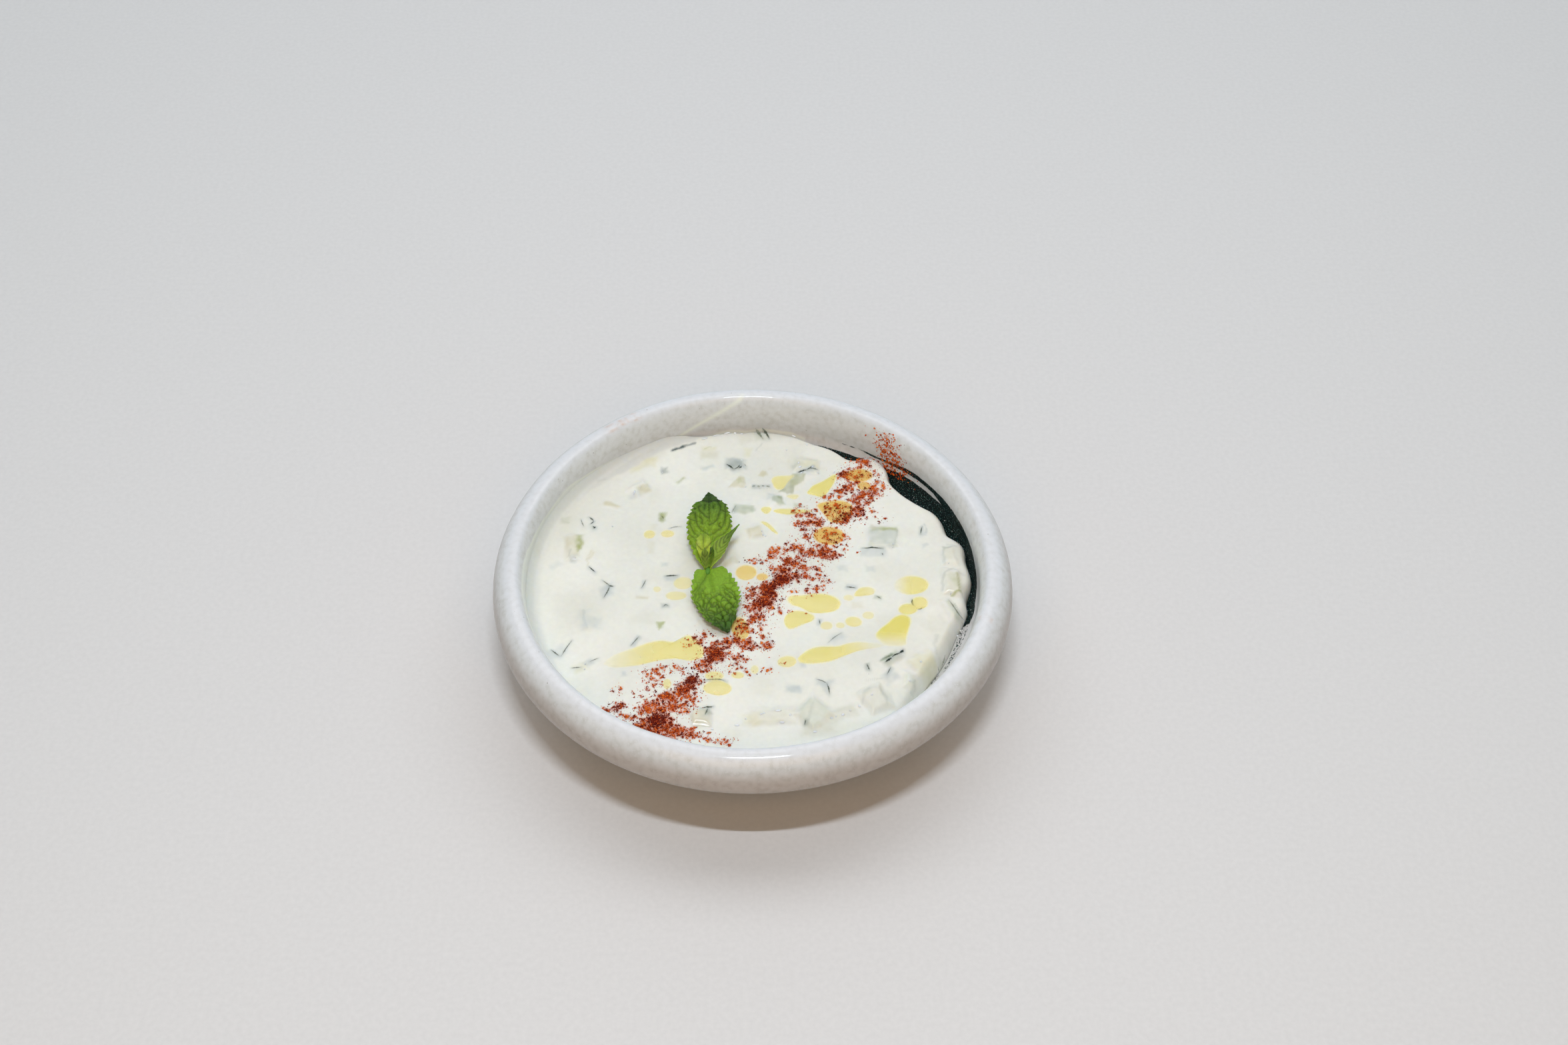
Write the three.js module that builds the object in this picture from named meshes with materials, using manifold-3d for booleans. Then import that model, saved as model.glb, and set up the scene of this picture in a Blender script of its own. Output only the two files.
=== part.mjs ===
// A tzatziki dip in a shallow stoneware bowl, dressed with olive oil, a line of paprika and a
// sprig of mint. Millimetres, +Z up, the diner's side towards -Y. The origin is the middle of
// the foot ring's underside, on the table.

import * as THREE from "three";
import { mergeVertices } from "three/addons/utils/BufferGeometryUtils.js";
import Module from "manifold-3d";

const wasm = await Module();
wasm.setup();

// ---------------------------------------------------------------- driving dimensions

const BOWL = {
  height: 38,
  footInner: 37.5, // radius of the foot ring's inner edge
  footOuter: 42,
  footBevel: 0.7,
  recess: 5.4, // height of the unglazed middle inside the foot ring
  flare: { radius: 44.5, height: 4.6, slope: 11 }, // where the underside leaves the foot
  shoulder: { radius: 78.5, height: 24.9, slope: 50 }, // where it turns into the rolled rim
  belly: { radius: 80, height: 28 }, // widest
  crest: 73.1, // radius of the top of the rim
  throat: { radius: 69.8, height: 30.5 }, // narrowest, inside
  wallFoot: 26, // height where the inner wall starts to curve in
  fillet: { width: 26, depth: 14.5 }, // elliptical curve from the wall to the floor
};
const SEGMENTS = 60; // facets round the bowl and the dip
const GAP = 0.4; // clearance between the dip and the bowl

// A hand-thrown bowl is a little out of round: lobes, share of the radius, phase.
const OUT_OF_ROUND = [
  { lobes: 2, share: 0.0033, phase: 1.57 },
  { lobes: 3, share: 0.002, phase: 0.41 },
];

const DIP = {
  level: 26, // height of its middle
  rim: 22.3, // height at which its edge meets the bowl's wall
  round: 2.8, // radius of its rounded edge
  rings: 12, // facets from the middle to the rounded edge
  roundRings: 3,
  underRings: 6,
};

// Slow swells left by the spoon: height, direction of travel, wavelength, phase.
const SWELLS = [
  { height: 0.28, turn: 24, length: 47, phase: 0.6 },
  { height: 0.2, turn: 102, length: 34, phase: 2.2 },
  { height: 0.14, turn: 151, length: 21, phase: 4.1 },
];

// Where the dip has drawn back from the wall: direction, half-width (degrees), depth.
const NOTCHES = [
  { at: 65.5, half: 7.5, depth: 4.9 },
  { at: 39, half: 10, depth: 6.2 },
  { at: 20, half: 5.5, depth: 3.1 },
  { at: 5.5, half: 5, depth: 0.6 },
  { at: -18, half: 17, depth: 3 },
];

// Cucumber that breaks the surface: centre x, y, length, width, turn (degrees), rise.
const CUCUMBER = [
  [-5.8, 52, 6.5, 5.5, 0, 0.6],
  [-5.3, 44.2, 5, 4.5, 30, 0.4],
  [2.1, 42.3, 5.8, 1.6, 0, 0.5],
  [-15.5, 50.5, 5, 1.8, 15, 0.3],
  [-23.5, 45.2, 4, 2, 35, 0.35],
  [-36.6, 41.3, 6.5, 5.5, 45, 0.8],
  [-45, 34, 6, 2.2, -20, 0.35],
  [-56.3, 15.3, 4.5, 10.5, 0, 0.7],
  [-3.2, 32.1, 7, 4.4, 0, 0.5],
  [0.8, 22, 5.4, 5, 20, 0.7],
  [13.5, 44, 13, 4, 46, 0.6],
  [17, 52, 7, 6, -10, 0.9],
  [7, 36, 5, 6, 10, 0.5],
  [41.2, 20, 9.5, 9.5, 4, 0.5],
  [-7.2, 9.2, 4.5, 3.5, 30, 0.4],
  [61.6, 11.6, 4.6, 8, 0, 0.9],
  [61.8, 1.3, 5.4, 9.5, 0, 1],
  [-14.8, -51.5, 5.5, 6.5, 0, 0.9],
  [6.5, -51, 13, 6, 5, 0.8],
  [18.5, -50, 9, 9, 45, 0.9],
  [28.2, -49.6, 8, 3, 25, 0.4],
  [37, -44.8, 8, 8, 30, 1],
  [47.5, -36, 3.5, 4.5, 0, 0.7],
  [52, -29.5, 9, 7, 35, 0.9],
  [42.6, -29, 7.5, 3, 42, 0.6],
  [61, -9, 3, 7, 30, 0.6],
  [-49.5, -14.5, 6, 8, 0, 0.35],
  [-10.8, -38, 5.5, 1.6, 0, 0.6],
];
const CUCUMBER_DEPTH = 4; // how far a piece reaches below its top
const CUCUMBER_BEVEL = 0.7;

// Pools of olive oil: centre x, y, half-length, half-width, turn (degrees).
const OIL = [
  [9, 44.5, 4.5, 3.5, 0],
  [22.5, 43, 5.6, 3, 50],
  [34, 47, 4.5, 3, 0],
  [35.5, 42, 2.2, 2, 0],
  [26, 31, 5.5, 4.5, -40],
  [24, 21, 4.8, 3.8, 0],
  [11, 31.5, 6, 0.9, 0],
  [5.3, 23.8, 3.2, 0.9, -42],
  [-2, 5, 3.3, 3.2, 0],
  [49, -0.2, 5.5, 3.8, 0],
  [-32.8, 21.2, 1.7, 1.7, 0],
  [-21.8, 1, 2.6, 2.8, 0],
  [-34.5, -28.5, 8.5, 3.4, 10],
  [-25, -26.3, 7.5, 3.6, 4],
  [-18.5, -25, 4.4, 4.2, 0],
  [-10.5, -40.4, 4.2, 2.8, 0],
  [-3.4, -18.4, 1.9, 3, 0],
  [19, -7.5, 8, 3.9, -4],
  [14, -13.8, 4.8, 3.4, 8],
  [34.5, -2.8, 3, 2.1, 0],
  [51.2, -8, 2.6, 2.6, 0],
  [43.6, -17.2, 6.2, 4, 62],
  [20.5, -27.8, 6.2, 3.3, 8],
  [31, -24.4, 6, 1.6, 12],
  [10.7, -31, 3, 2.6, 0],
];
const OIL_RISE = 0.5; // height of a pool's middle
const OIL_ROUND = 10; // facets round a pool
const OIL_STEPS = 4; // and from its top to its underside

const PAPRIKA = {
  line: [[37, 51], [29, 34], [12, 9], [-2, -13], [-18, -40], [-27, -53]], // middle of the strip
  spread: 4.6, // standard deviation of the distance from that line
  clumps: 60,
  smallest: 0.55, // half-length of a clump
  largest: 1.35,
  leafClearance: 1.6,
  edgeClearance: 5,
};

// Leaves of the sprig, by their midrib: base, a point it bends towards and tip, each x, y and
// height above the dip's level. The outline starts at heel and is widest at fullest, as shares
// of half and of the length; point is how sharply it closes, and lift how far the sides rise.
const STEM = { x: -13.9, y: 4.6, height: 1.7, radius: 1, length: 2.6 };
const LEAVES = [
  { name: "back", base: [-14, 4.4, 1.7], bend: [-13.2, 20, 6.4], tip: [-14.2, 35.2, 4.3],
    half: 7.2, fullest: 0.5, heel: 0.06, point: 0.95, lift: 0.9, teeth: 9, columns: 6 },
  { name: "front", base: [-13.7, 4.4, 1.7], bend: [-11.4, -9, 3.4], tip: [-7, -20, 1],
    half: 7.8, fullest: 0.36, heel: 0.66, point: 0.8, lift: 0.5, teeth: 8, columns: 6 },
  { name: "right", base: [-13.4, 5.2, 2.4], bend: [-10.6, 11, 5.4], tip: [-4.2, 18.2, 8],
    half: 2.2, fullest: 0.5, heel: 0.1, point: 1, lift: 0.7, teeth: 4, columns: 2 },
  { name: "left", base: [-13.9, 5, 2.6], bend: [-16, 9.4, 5.6], tip: [-15.4, 14.6, 7],
    half: 1.6, fullest: 0.5, heel: 0.1, point: 1, lift: 0.4, teeth: 3, columns: 2 },
  { name: "bud", base: [-13.5, 5, 2.8], bend: [-13.6, 7.4, 6], tip: [-12.2, 10.4, 7.6],
    half: 1.5, fullest: 0.5, heel: 0.1, point: 1, lift: 0.4, teeth: 3, columns: 2 },
];
const LEAF_THICKNESS = 0.5;
const LEAF_POINT = 0.16; // half-width left at a leaf's two ends
const TOOTH = 0.09; // depth of a notch between two teeth, as a share of the half-width

const COLOURS = { glaze: 0xd3d0cc, yoghurt: 0xe8e9e0, mint: 0x5a8a28 };

// ---------------------------------------------------------------- shared helpers

// A repeatable random number from 0 to 1 (the mulberry32 generator).
function seededRandom(seed) {
  let state = seed;
  return () => {
    state = (state + 0x6d2b79f5) | 0;
    let mixed = Math.imul(state ^ (state >>> 15), 1 | state);
    mixed = (mixed + Math.imul(mixed ^ (mixed >>> 7), 61 | mixed)) ^ mixed;
    return ((mixed ^ (mixed >>> 14)) >>> 0) / 2 ** 32;
  };
}

const radians = THREE.MathUtils.degToRad;

// How much the bowl, and the dip that fills it, widen in a direction.
function roundness(angle) {
  return OUT_OF_ROUND.reduce(
    (scale, wave) => scale + wave.share * Math.cos(wave.lobes * angle + wave.phase), 1);
}

// Moves each vertex outwards or inwards from the axis by the bowl's roundness.
function throwByHand(geometry) {
  const position = geometry.attributes.position;
  for (let i = 0; i < position.count; i++) {
    const scale = roundness(Math.atan2(position.getY(i), position.getX(i)));
    position.setXY(i, position.getX(i) * scale, position.getY(i) * scale);
  }
  return geometry;
}

// A geometry as a manifold solid.
function toSolid(geometry) {
  const bare = geometry.clone();
  bare.deleteAttribute("normal");
  bare.deleteAttribute("uv");
  const merged = mergeVertices(bare, 1e-4);
  return new wasm.Manifold(new wasm.Mesh({
    numProp: 3,
    vertProperties: new Float32Array(merged.attributes.position.array),
    triVerts: new Uint32Array(merged.index.array),
  }));
}

function toGeometry(solid) {
  const mesh = solid.getMesh();
  const geometry = new THREE.BufferGeometry();
  geometry.setAttribute("position", new THREE.BufferAttribute(mesh.vertProperties, 3));
  geometry.setIndex(new THREE.BufferAttribute(mesh.triVerts, 1));
  geometry.computeVertexNormals();
  return geometry;
}

// One solid out of several geometries that overlap.
function fuse(geometries) {
  return toGeometry(geometries.map(toSolid).reduce((whole, piece) => whole.add(piece)));
}

// A closed surface through rings of equally many points, shut by a point at each end.
function ringSolid(first, rings, last) {
  const count = rings[0].length;
  const points = [first, ...rings.flat(), last];
  const at = (ring, i) => 1 + ring * count + (i % count);
  const index = [];
  for (let i = 0; i < count; i++) {
    index.push(0, at(0, i), at(0, i + 1));
    for (let ring = 0; ring + 1 < rings.length; ring++) {
      index.push(at(ring, i), at(ring + 1, i), at(ring + 1, i + 1));
      index.push(at(ring, i), at(ring + 1, i + 1), at(ring, i + 1));
    }
    index.push(at(rings.length - 1, i), points.length - 1, at(rings.length - 1, i + 1));
  }
  const geometry = new THREE.BufferGeometry().setFromPoints(points);
  geometry.setIndex(index);
  return geometry;
}

// A sheet with a top and an underside split alike, each a grid of points, joined at the rim.
function slab(top, underside) {
  const rows = top.length;
  const columns = top[0].length;
  const points = [...top.flat(), ...underside.flat()];
  const under = rows * columns;
  const at = (row, column) => row * columns + column;
  const index = [];
  for (let row = 0; row + 1 < rows; row++) {
    for (let column = 0; column + 1 < columns; column++) {
      const corners = [
        at(row, column), at(row, column + 1), at(row + 1, column + 1), at(row + 1, column),
      ];
      const [a, b, c, d] = corners;
      index.push(a, b, c, a, c, d);
      index.push(under + a, under + c, under + b, under + a, under + d, under + c);
    }
  }
  const rim = [];
  for (let column = 0; column + 1 < columns; column++) rim.push(at(0, column));
  for (let row = 0; row + 1 < rows; row++) rim.push(at(row, columns - 1));
  for (let column = columns - 1; column > 0; column--) rim.push(at(rows - 1, column));
  for (let row = rows - 1; row > 0; row--) rim.push(at(row, 0));
  rim.forEach((here, i) => {
    const next = rim[(i + 1) % rim.length];
    index.push(here, under + here, under + next, here, under + next, next);
  });
  const geometry = new THREE.BufferGeometry().setFromPoints(points);
  geometry.setIndex(index);
  return geometry;
}

// ---------------------------------------------------------------- bowl

// The section from the underside's middle round the rim to the middle of the floor.
function bowlProfile() {
  const { footInner, footOuter, footBevel, recess, flare, shoulder } = BOWL;
  const { belly, crest, throat, wallFoot, fillet, height } = BOWL;
  const points = [
    [0, recess],
    [footInner - footBevel, recess],
    [footInner, footBevel],
    [footInner + footBevel, 0],
    [footOuter - footBevel, 0],
    [footOuter, footBevel],
    [flare.radius, flare.height],
  ].map(([r, z]) => new THREE.Vector2(r, z));

  const start = points.at(-1);
  const turn = new THREE.Vector2(shoulder.radius, shoulder.height);
  const widest = new THREE.Vector2(belly.radius, belly.height);
  const under = new THREE.QuadraticBezierCurve(
    start, meeting(start, flare.slope, turn, shoulder.slope), turn);
  const roll = new THREE.QuadraticBezierCurve(
    turn, meeting(turn, shoulder.slope, widest, 90), widest);
  const rimOutside = new THREE.EllipseCurve(
    crest, belly.height, belly.radius - crest, height - belly.height, 0, Math.PI / 2);
  const rimInside = new THREE.EllipseCurve(
    crest, throat.height, crest - throat.radius, height - throat.height,
    Math.PI / 2, Math.PI);
  const corner = new THREE.EllipseCurve(
    throat.radius - fillet.width, wallFoot, fillet.width, fillet.depth,
    0, -Math.PI / 2, true);
  for (const [curve, steps] of [[under, 6], [roll, 2], [rimOutside, 6], [rimInside, 4]]) {
    points.push(...curve.getPoints(steps).slice(1));
  }
  points.push(...corner.getPoints(8));
  points.push(new THREE.Vector2(0, wallFoot - fillet.depth));
  return points;
}

// Where a line out of a rising at one slope (degrees) meets a line out of b at another.
function meeting(a, slopeA, b, slopeB) {
  const alongA = new THREE.Vector2(Math.cos(radians(slopeA)), Math.sin(radians(slopeA)));
  const alongB = new THREE.Vector2(Math.cos(radians(slopeB)), Math.sin(radians(slopeB)));
  const reach = b.clone().sub(a).cross(alongB) / alongA.cross(alongB);
  return a.clone().addScaledVector(alongA, reach);
}

function bowlGeometry() {
  const lathe = new THREE.LatheGeometry(bowlProfile(), SEGMENTS);
  return throwByHand(lathe.rotateX(Math.PI / 2));
}

// Height of the bowl's inside at a distance from its axis, before it is thrown out of round.
function insideHeight(radius) {
  const { throat, wallFoot, fillet } = BOWL;
  const across = Math.max(0, radius - (throat.radius - fillet.width)) / fillet.width;
  return wallFoot - fillet.depth * Math.sqrt(Math.max(0, 1 - across ** 2));
}

// The distance from the axis at which the bowl's inside has a height.
function insideRadius(height) {
  const { throat, wallFoot, fillet } = BOWL;
  const down = (wallFoot - height) / fillet.depth;
  return throat.radius - fillet.width + fillet.width * Math.sqrt(1 - down ** 2);
}

// ---------------------------------------------------------------- dip

// The dip's outline: against the wall, or drawn back from it in a notch.
function edgeRadius(angle) {
  const back = NOTCHES.reduce((sum, notch) => {
    const away = Math.abs(THREE.MathUtils.radToDeg(angle) - notch.at);
    const off = Math.min(away, 360 - away) / notch.half;
    return sum + notch.depth * Math.exp(-(off ** 2));
  }, 0);
  return insideRadius(DIP.rim) - GAP - back;
}

// Height of the dip's surface away from its edge.
function surfaceHeight(x, y) {
  return SWELLS.reduce((height, swell) => {
    const along = x * Math.cos(radians(swell.turn)) + y * Math.sin(radians(swell.turn));
    return height + swell.height * Math.sin((2 * Math.PI * along) / swell.length + swell.phase);
  }, DIP.level);
}

// The plain body of the dip: a wavy top, a rounded edge and an underside that fits the bowl.
function dipCore() {
  const angles = Array.from({ length: SEGMENTS }, (_, i) => {
    const angle = (2 * Math.PI * i) / SEGMENTS;
    return angle > Math.PI ? angle - 2 * Math.PI : angle;
  });
  const ring = (radiusAt, heightAt) => angles.map((angle) => {
    const radius = radiusAt(angle);
    const x = radius * Math.cos(angle);
    const y = radius * Math.sin(angle);
    return new THREE.Vector3(x, y, heightAt(x, y, radius));
  });
  const rings = [];
  for (let i = 1; i <= DIP.rings; i++) {
    rings.push(ring((angle) => ((edgeRadius(angle) - DIP.round) * i) / DIP.rings, surfaceHeight));
  }
  for (let i = 1; i <= DIP.roundRings; i++) {
    const turn = (Math.PI / 2) * (i / DIP.roundRings);
    const inset = DIP.round * (1 - Math.sin(turn));
    const drop = DIP.round * (1 - Math.cos(turn));
    rings.push(ring(
      (angle) => edgeRadius(angle) - inset,
      (x, y) => surfaceHeight(x, y) - drop));
  }
  for (let i = DIP.underRings; i >= 1; i--) {
    const share = Math.sin((Math.PI / 2) * (i / DIP.underRings));
    rings.push(ring(
      (angle) => edgeRadius(angle) * share,
      (x, y, radius) => insideHeight(radius + GAP) + GAP));
  }
  const top = new THREE.Vector3(0, 0, surfaceHeight(0, 0));
  const bottom = new THREE.Vector3(0, 0, insideHeight(0) + GAP);
  return throwByHand(ringSolid(top, rings, bottom));
}

// A bevelled block of cucumber, level, with its top at its rise above the dip.
function cucumberPiece([x, y, length, width, turn, rise]) {
  const half = new THREE.Vector2(length / 2 - CUCUMBER_BEVEL, width / 2 - CUCUMBER_BEVEL);
  half.max(new THREE.Vector2(0.1, 0.1));
  const face = new THREE.Shape([
    new THREE.Vector2(-half.x, -half.y),
    new THREE.Vector2(half.x, -half.y),
    new THREE.Vector2(half.x, half.y),
    new THREE.Vector2(-half.x, half.y),
  ]);
  const block = new THREE.ExtrudeGeometry(face, {
    depth: CUCUMBER_DEPTH,
    bevelThickness: CUCUMBER_BEVEL,
    bevelSize: CUCUMBER_BEVEL,
    bevelSegments: 1,
  });
  block.translate(0, 0, -CUCUMBER_DEPTH - CUCUMBER_BEVEL);
  return block.rotateZ(radians(turn)).translate(x, y, surfaceHeight(x, y) + rise);
}

// Lays a geometry made round the origin on the dip, its vertices following the surface.
function drape(geometry, x, y) {
  const placed = geometry.translate(x, y, 0);
  const position = placed.attributes.position;
  for (let i = 0; i < position.count; i++) {
    const height = surfaceHeight(position.getX(i), position.getY(i));
    position.setZ(i, position.getZ(i) + height);
  }
  return placed;
}

function oilPool([x, y, halfLength, halfWidth, turn]) {
  const lens = new THREE.SphereGeometry(1, OIL_ROUND, OIL_STEPS).rotateX(Math.PI / 2);
  lens.scale(halfLength, halfWidth, OIL_RISE).rotateZ(radians(turn));
  return drape(lens, x, y);
}

// A small flat lump with uneven corners.
function paprikaClump(x, y, half, random) {
  const lump = new THREE.IcosahedronGeometry(half, 0);
  lump.deleteAttribute("normal");
  lump.deleteAttribute("uv");
  const merged = mergeVertices(lump, 1e-4);
  const position = merged.attributes.position;
  for (let i = 0; i < position.count; i++) {
    const reach = 0.8 + 0.4 * random();
    position.setXYZ(
      i, position.getX(i) * reach, position.getY(i) * reach, position.getZ(i) * reach);
  }
  merged.scale(1, 0.65 + 0.3 * random(), 0.5);
  return drape(merged.rotateZ(2 * Math.PI * random()), x, y);
}

// Whether a place lies under one of the leaves, or close beside it.
function underLeaf(x, y) {
  return LEAVES.some((leaf) => {
    const spine = midrib(leaf);
    return Array.from({ length: 21 }, (_, i) => i / 20).some((along) => {
      const point = spine.getPoint(along);
      const reach = leafHalf(leaf, along) + PAPRIKA.leafClearance;
      return Math.hypot(x - point.x, y - point.y) < reach;
    });
  });
}

// Clumps sprinkled along the strip, clear of the leaves and of the dip's edge.
function paprikaClumps() {
  const random = seededRandom(11);
  const bell = () => random() + random() + random() + random() - 2; // deviation 0.58
  const middle = new THREE.CatmullRomCurve3(
    PAPRIKA.line.map(([x, y]) => new THREE.Vector3(x, y, 0)));
  const clumps = [];
  while (clumps.length < PAPRIKA.clumps) {
    const point = middle.getPointAt(random());
    const x = point.x + (PAPRIKA.spread * bell()) / 0.58;
    const y = point.y + (PAPRIKA.spread * bell()) / 0.58 / 2;
    const half = THREE.MathUtils.lerp(PAPRIKA.smallest, PAPRIKA.largest, random() ** 2);
    const room = edgeRadius(Math.atan2(y, x)) - PAPRIKA.edgeClearance;
    if (Math.hypot(x, y) < room && !underLeaf(x, y)) {
      clumps.push(paprikaClump(x, y, half, random));
    }
  }
  return clumps;
}

function dipGeometry() {
  return fuse([
    dipCore(),
    ...CUCUMBER.map(cucumberPiece),
    ...OIL.map(oilPool),
    ...paprikaClumps(),
  ]);
}

// ---------------------------------------------------------------- mint sprig

function midrib(leaf) {
  const point = ([x, y, height]) => new THREE.Vector3(x, y, DIP.level + height);
  return new THREE.QuadraticBezierCurve3(point(leaf.base), point(leaf.bend), point(leaf.tip));
}

// Half the width of a leaf without its teeth, from its base (0) to its tip (1). It swells from
// the heel to the fullest place and narrows to a point.
function leafHalf(leaf, along) {
  const swell = along < leaf.fullest
    ? leaf.heel + (1 - leaf.heel) * Math.sin((Math.PI / 2) * (along / leaf.fullest))
    : Math.cos((Math.PI / 2) * ((along - leaf.fullest) / (1 - leaf.fullest))) ** leaf.point;
  return Math.max(LEAF_POINT, leaf.half * swell);
}

// A thin leaf along its midrib, with its sides lifted, a slow wave and a row of teeth.
function leafGeometry(leaf) {
  const spine = midrib(leaf);
  const rows = 2 * leaf.teeth;
  const up = new THREE.Vector3(0, 0, 1);
  const top = [];
  const underside = [];
  for (let row = 0; row <= rows; row++) {
    const along = row / rows;
    const point = spine.getPoint(along);
    const across = spine.getTangent(along).cross(up).normalize();
    const tooth = row % 2 === 0 && row > 0 && row < rows ? 1 - TOOTH : 1;
    const half = leafHalf(leaf, along) * tooth;
    const topRow = [];
    const underRow = [];
    for (let column = 0; column <= leaf.columns; column++) {
      const side = (2 * column) / leaf.columns - 1;
      const wave = 0.25 * side * Math.sin(2.5 * Math.PI * along + side);
      const height = leaf.lift * side ** 2 * Math.sin(Math.PI * along) + wave * (half / 8);
      const here = point.clone().addScaledVector(across, side * half);
      here.z += height;
      topRow.push(here.clone().addScaledVector(up, LEAF_THICKNESS / 2));
      underRow.push(here.clone().addScaledVector(up, -LEAF_THICKNESS / 2));
    }
    top.push(topRow);
    underside.push(underRow);
  }
  return slab(top, underside);
}

function sprigGeometry() {
  const stem = new THREE.CapsuleGeometry(STEM.radius, STEM.length, 3, 8);
  stem.translate(STEM.x, STEM.y, DIP.level + STEM.height);
  return fuse([stem, ...LEAVES.map(leafGeometry)]);
}

// ---------------------------------------------------------------- the part

function piece(name, geometry, colour, roughness) {
  const material = new THREE.MeshStandardMaterial({ color: colour, roughness, metalness: 0 });
  const mesh = new THREE.Mesh(geometry, material);
  mesh.name = name;
  return mesh;
}

const tzatziki = new THREE.Group();
tzatziki.add(
  piece("bowl", bowlGeometry(), COLOURS.glaze, 0.25),
  piece("dip", dipGeometry(), COLOURS.yoghurt, 0.3),
  piece("mint_sprig", sprigGeometry(), COLOURS.mint, 0.5),
);

export default tzatziki;
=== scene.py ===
"""A tzatziki dip in its stoneware bowl, dressed with olive oil, paprika and a mint sprig.

Every length is in millimetres until a mesh is made. +Z is up and the diner sits towards -Y.
The origin is on the table, under the middle of the bowl. Heights named "rise" are above the dip.
"""

from __future__ import annotations

import logging
import math
from dataclasses import dataclass, field
from enum import Enum

import bpy
import numpy as np
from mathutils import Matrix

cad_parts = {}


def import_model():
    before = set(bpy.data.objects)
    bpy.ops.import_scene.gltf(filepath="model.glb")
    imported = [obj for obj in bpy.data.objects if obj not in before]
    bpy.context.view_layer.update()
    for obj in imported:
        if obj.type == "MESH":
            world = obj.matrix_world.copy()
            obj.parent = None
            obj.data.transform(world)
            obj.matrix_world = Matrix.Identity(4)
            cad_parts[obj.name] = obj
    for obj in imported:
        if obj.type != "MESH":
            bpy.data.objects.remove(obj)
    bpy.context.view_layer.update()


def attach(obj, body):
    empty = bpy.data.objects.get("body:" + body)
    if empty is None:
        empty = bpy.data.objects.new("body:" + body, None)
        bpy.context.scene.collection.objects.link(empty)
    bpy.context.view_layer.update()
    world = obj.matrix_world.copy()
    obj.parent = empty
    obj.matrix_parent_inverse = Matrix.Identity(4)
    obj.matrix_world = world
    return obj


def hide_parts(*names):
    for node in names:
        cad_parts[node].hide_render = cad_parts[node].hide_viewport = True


Array = np.ndarray
Line = tuple[tuple[float, float], ...]
Rows = tuple[tuple[float, ...], ...]
Place = tuple[float, float, float]
LOG = logging.getLogger("tzatziki")
MM = 0.001  # metres in a millimetre


# ------------------------------------------------------------------ shared helpers


def linear(code: str) -> tuple[float, float, float, float]:
    """Turn an sRGB hex colour into a linear one.

    Args:
        code: the colour as "#RRGGBB".

    Returns:
        Red, green, blue and an alpha of 1.
    """
    shares = [int(code[i : i + 2], 16) / 255 for i in (1, 3, 5)]
    red, green, blue = (
        share / 12.92 if share <= 0.04045 else ((share + 0.055) / 1.055) ** 2.4 for share in shares
    )
    return red, green, blue, 1.0


def rgb(code: str) -> Array:
    """Give an sRGB hex colour as a linear red, green and blue array."""
    return np.array(linear(code)[:3])


def smooth(low: float, high: float, value: Array) -> Array:
    """Ease from 0 at low to 1 at high, by 3t^2 - 2t^3."""
    share = np.clip((value - low) / (high - low), 0, 1)
    return share * share * (3 - 2 * share)


def blend(first: Array, second: Array, share: Array) -> Array:
    """Mix rows of colours, where share 0 gives the first and 1 the second."""
    return first + (second - first) * np.asarray(share)[..., None]


def per_mm(size: float) -> float:
    """Give the texture scale, in Object coordinates, that makes a pattern repeat each size mm."""
    return 1000 / size


def add_node(
    tree: bpy.types.NodeTree,
    kind: str,
    settings: dict[str, object] | None = None,
    inputs: dict[str | int, object] | None = None,
) -> bpy.types.Node:
    """Add a node, set its properties and fill its inputs.

    Args:
        tree: the material's node tree.
        kind: the node's type name in Blender.
        settings: properties of the node, by name.
        inputs: what its inputs get, as fill takes it.

    Returns:
        The new node.
    """
    node = tree.nodes.new(kind)
    for name, value in (settings or {}).items():
        setattr(node, name, value)
    fill(tree, node, inputs or {})
    return node


def fill(tree: bpy.types.NodeTree, node: bpy.types.Node, inputs: dict[str | int, object]) -> None:
    """Fill a node's inputs.

    Args:
        tree: the material's node tree.
        node: the node.
        inputs: for each input, by name or by place, a constant, another node's output, or the
            name of a value that the mesh carries at its points.
    """
    for name, value in inputs.items():
        if isinstance(value, str):
            mark = add_node(tree, "ShaderNodeAttribute", {"attribute_name": value})
            value = mark.outputs["Color" if value == "tint" else "Fac"]
        if isinstance(value, bpy.types.NodeSocket):
            tree.links.new(value, node.inputs[name])
        else:
            node.inputs[name].default_value = value


def turned(x: Array, y: Array, degrees: float) -> tuple[Array, Array]:
    """Turn places about the origin, from +X towards +Y."""
    cosine, sine = math.cos(math.radians(degrees)), math.sin(math.radians(degrees))
    return x * cosine - y * sine, x * sine + y * cosine


def bell(count: int) -> Array:
    """Give the weights of a running mean, as a raised cosine that adds up to 1."""
    weights = np.hanning(count)
    return weights / weights.sum()


@dataclass(frozen=True)
class Hills:
    """Smooth random hills on a plane, from a seeded lattice of heights."""

    seed: int
    size: float  # mm between lattice points

    def at(self, x: Array, y: Array) -> Array:
        """Interpolate the lattice, eased along both axes.

        Args:
            x: first coordinate, mm.
            y: second coordinate, mm.

        Returns:
            Heights from -1 to 1.
        """
        lattice = np.random.default_rng(self.seed).uniform(-1, 1, (128, 128))
        column, row = np.asarray(x) / self.size, np.asarray(y) / self.size
        left, low = np.floor(column).astype(int), np.floor(row).astype(int)
        across, up = smooth(0, 1, column - left), smooth(0, 1, row - low)
        near = lattice[left % 128, low % 128]
        right = lattice[(left + 1) % 128, low % 128]
        above = lattice[left % 128, (low + 1) % 128]
        far = lattice[(left + 1) % 128, (low + 1) % 128]
        return (near + (right - near) * across) * (1 - up) + (above + (far - above) * across) * up


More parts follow.
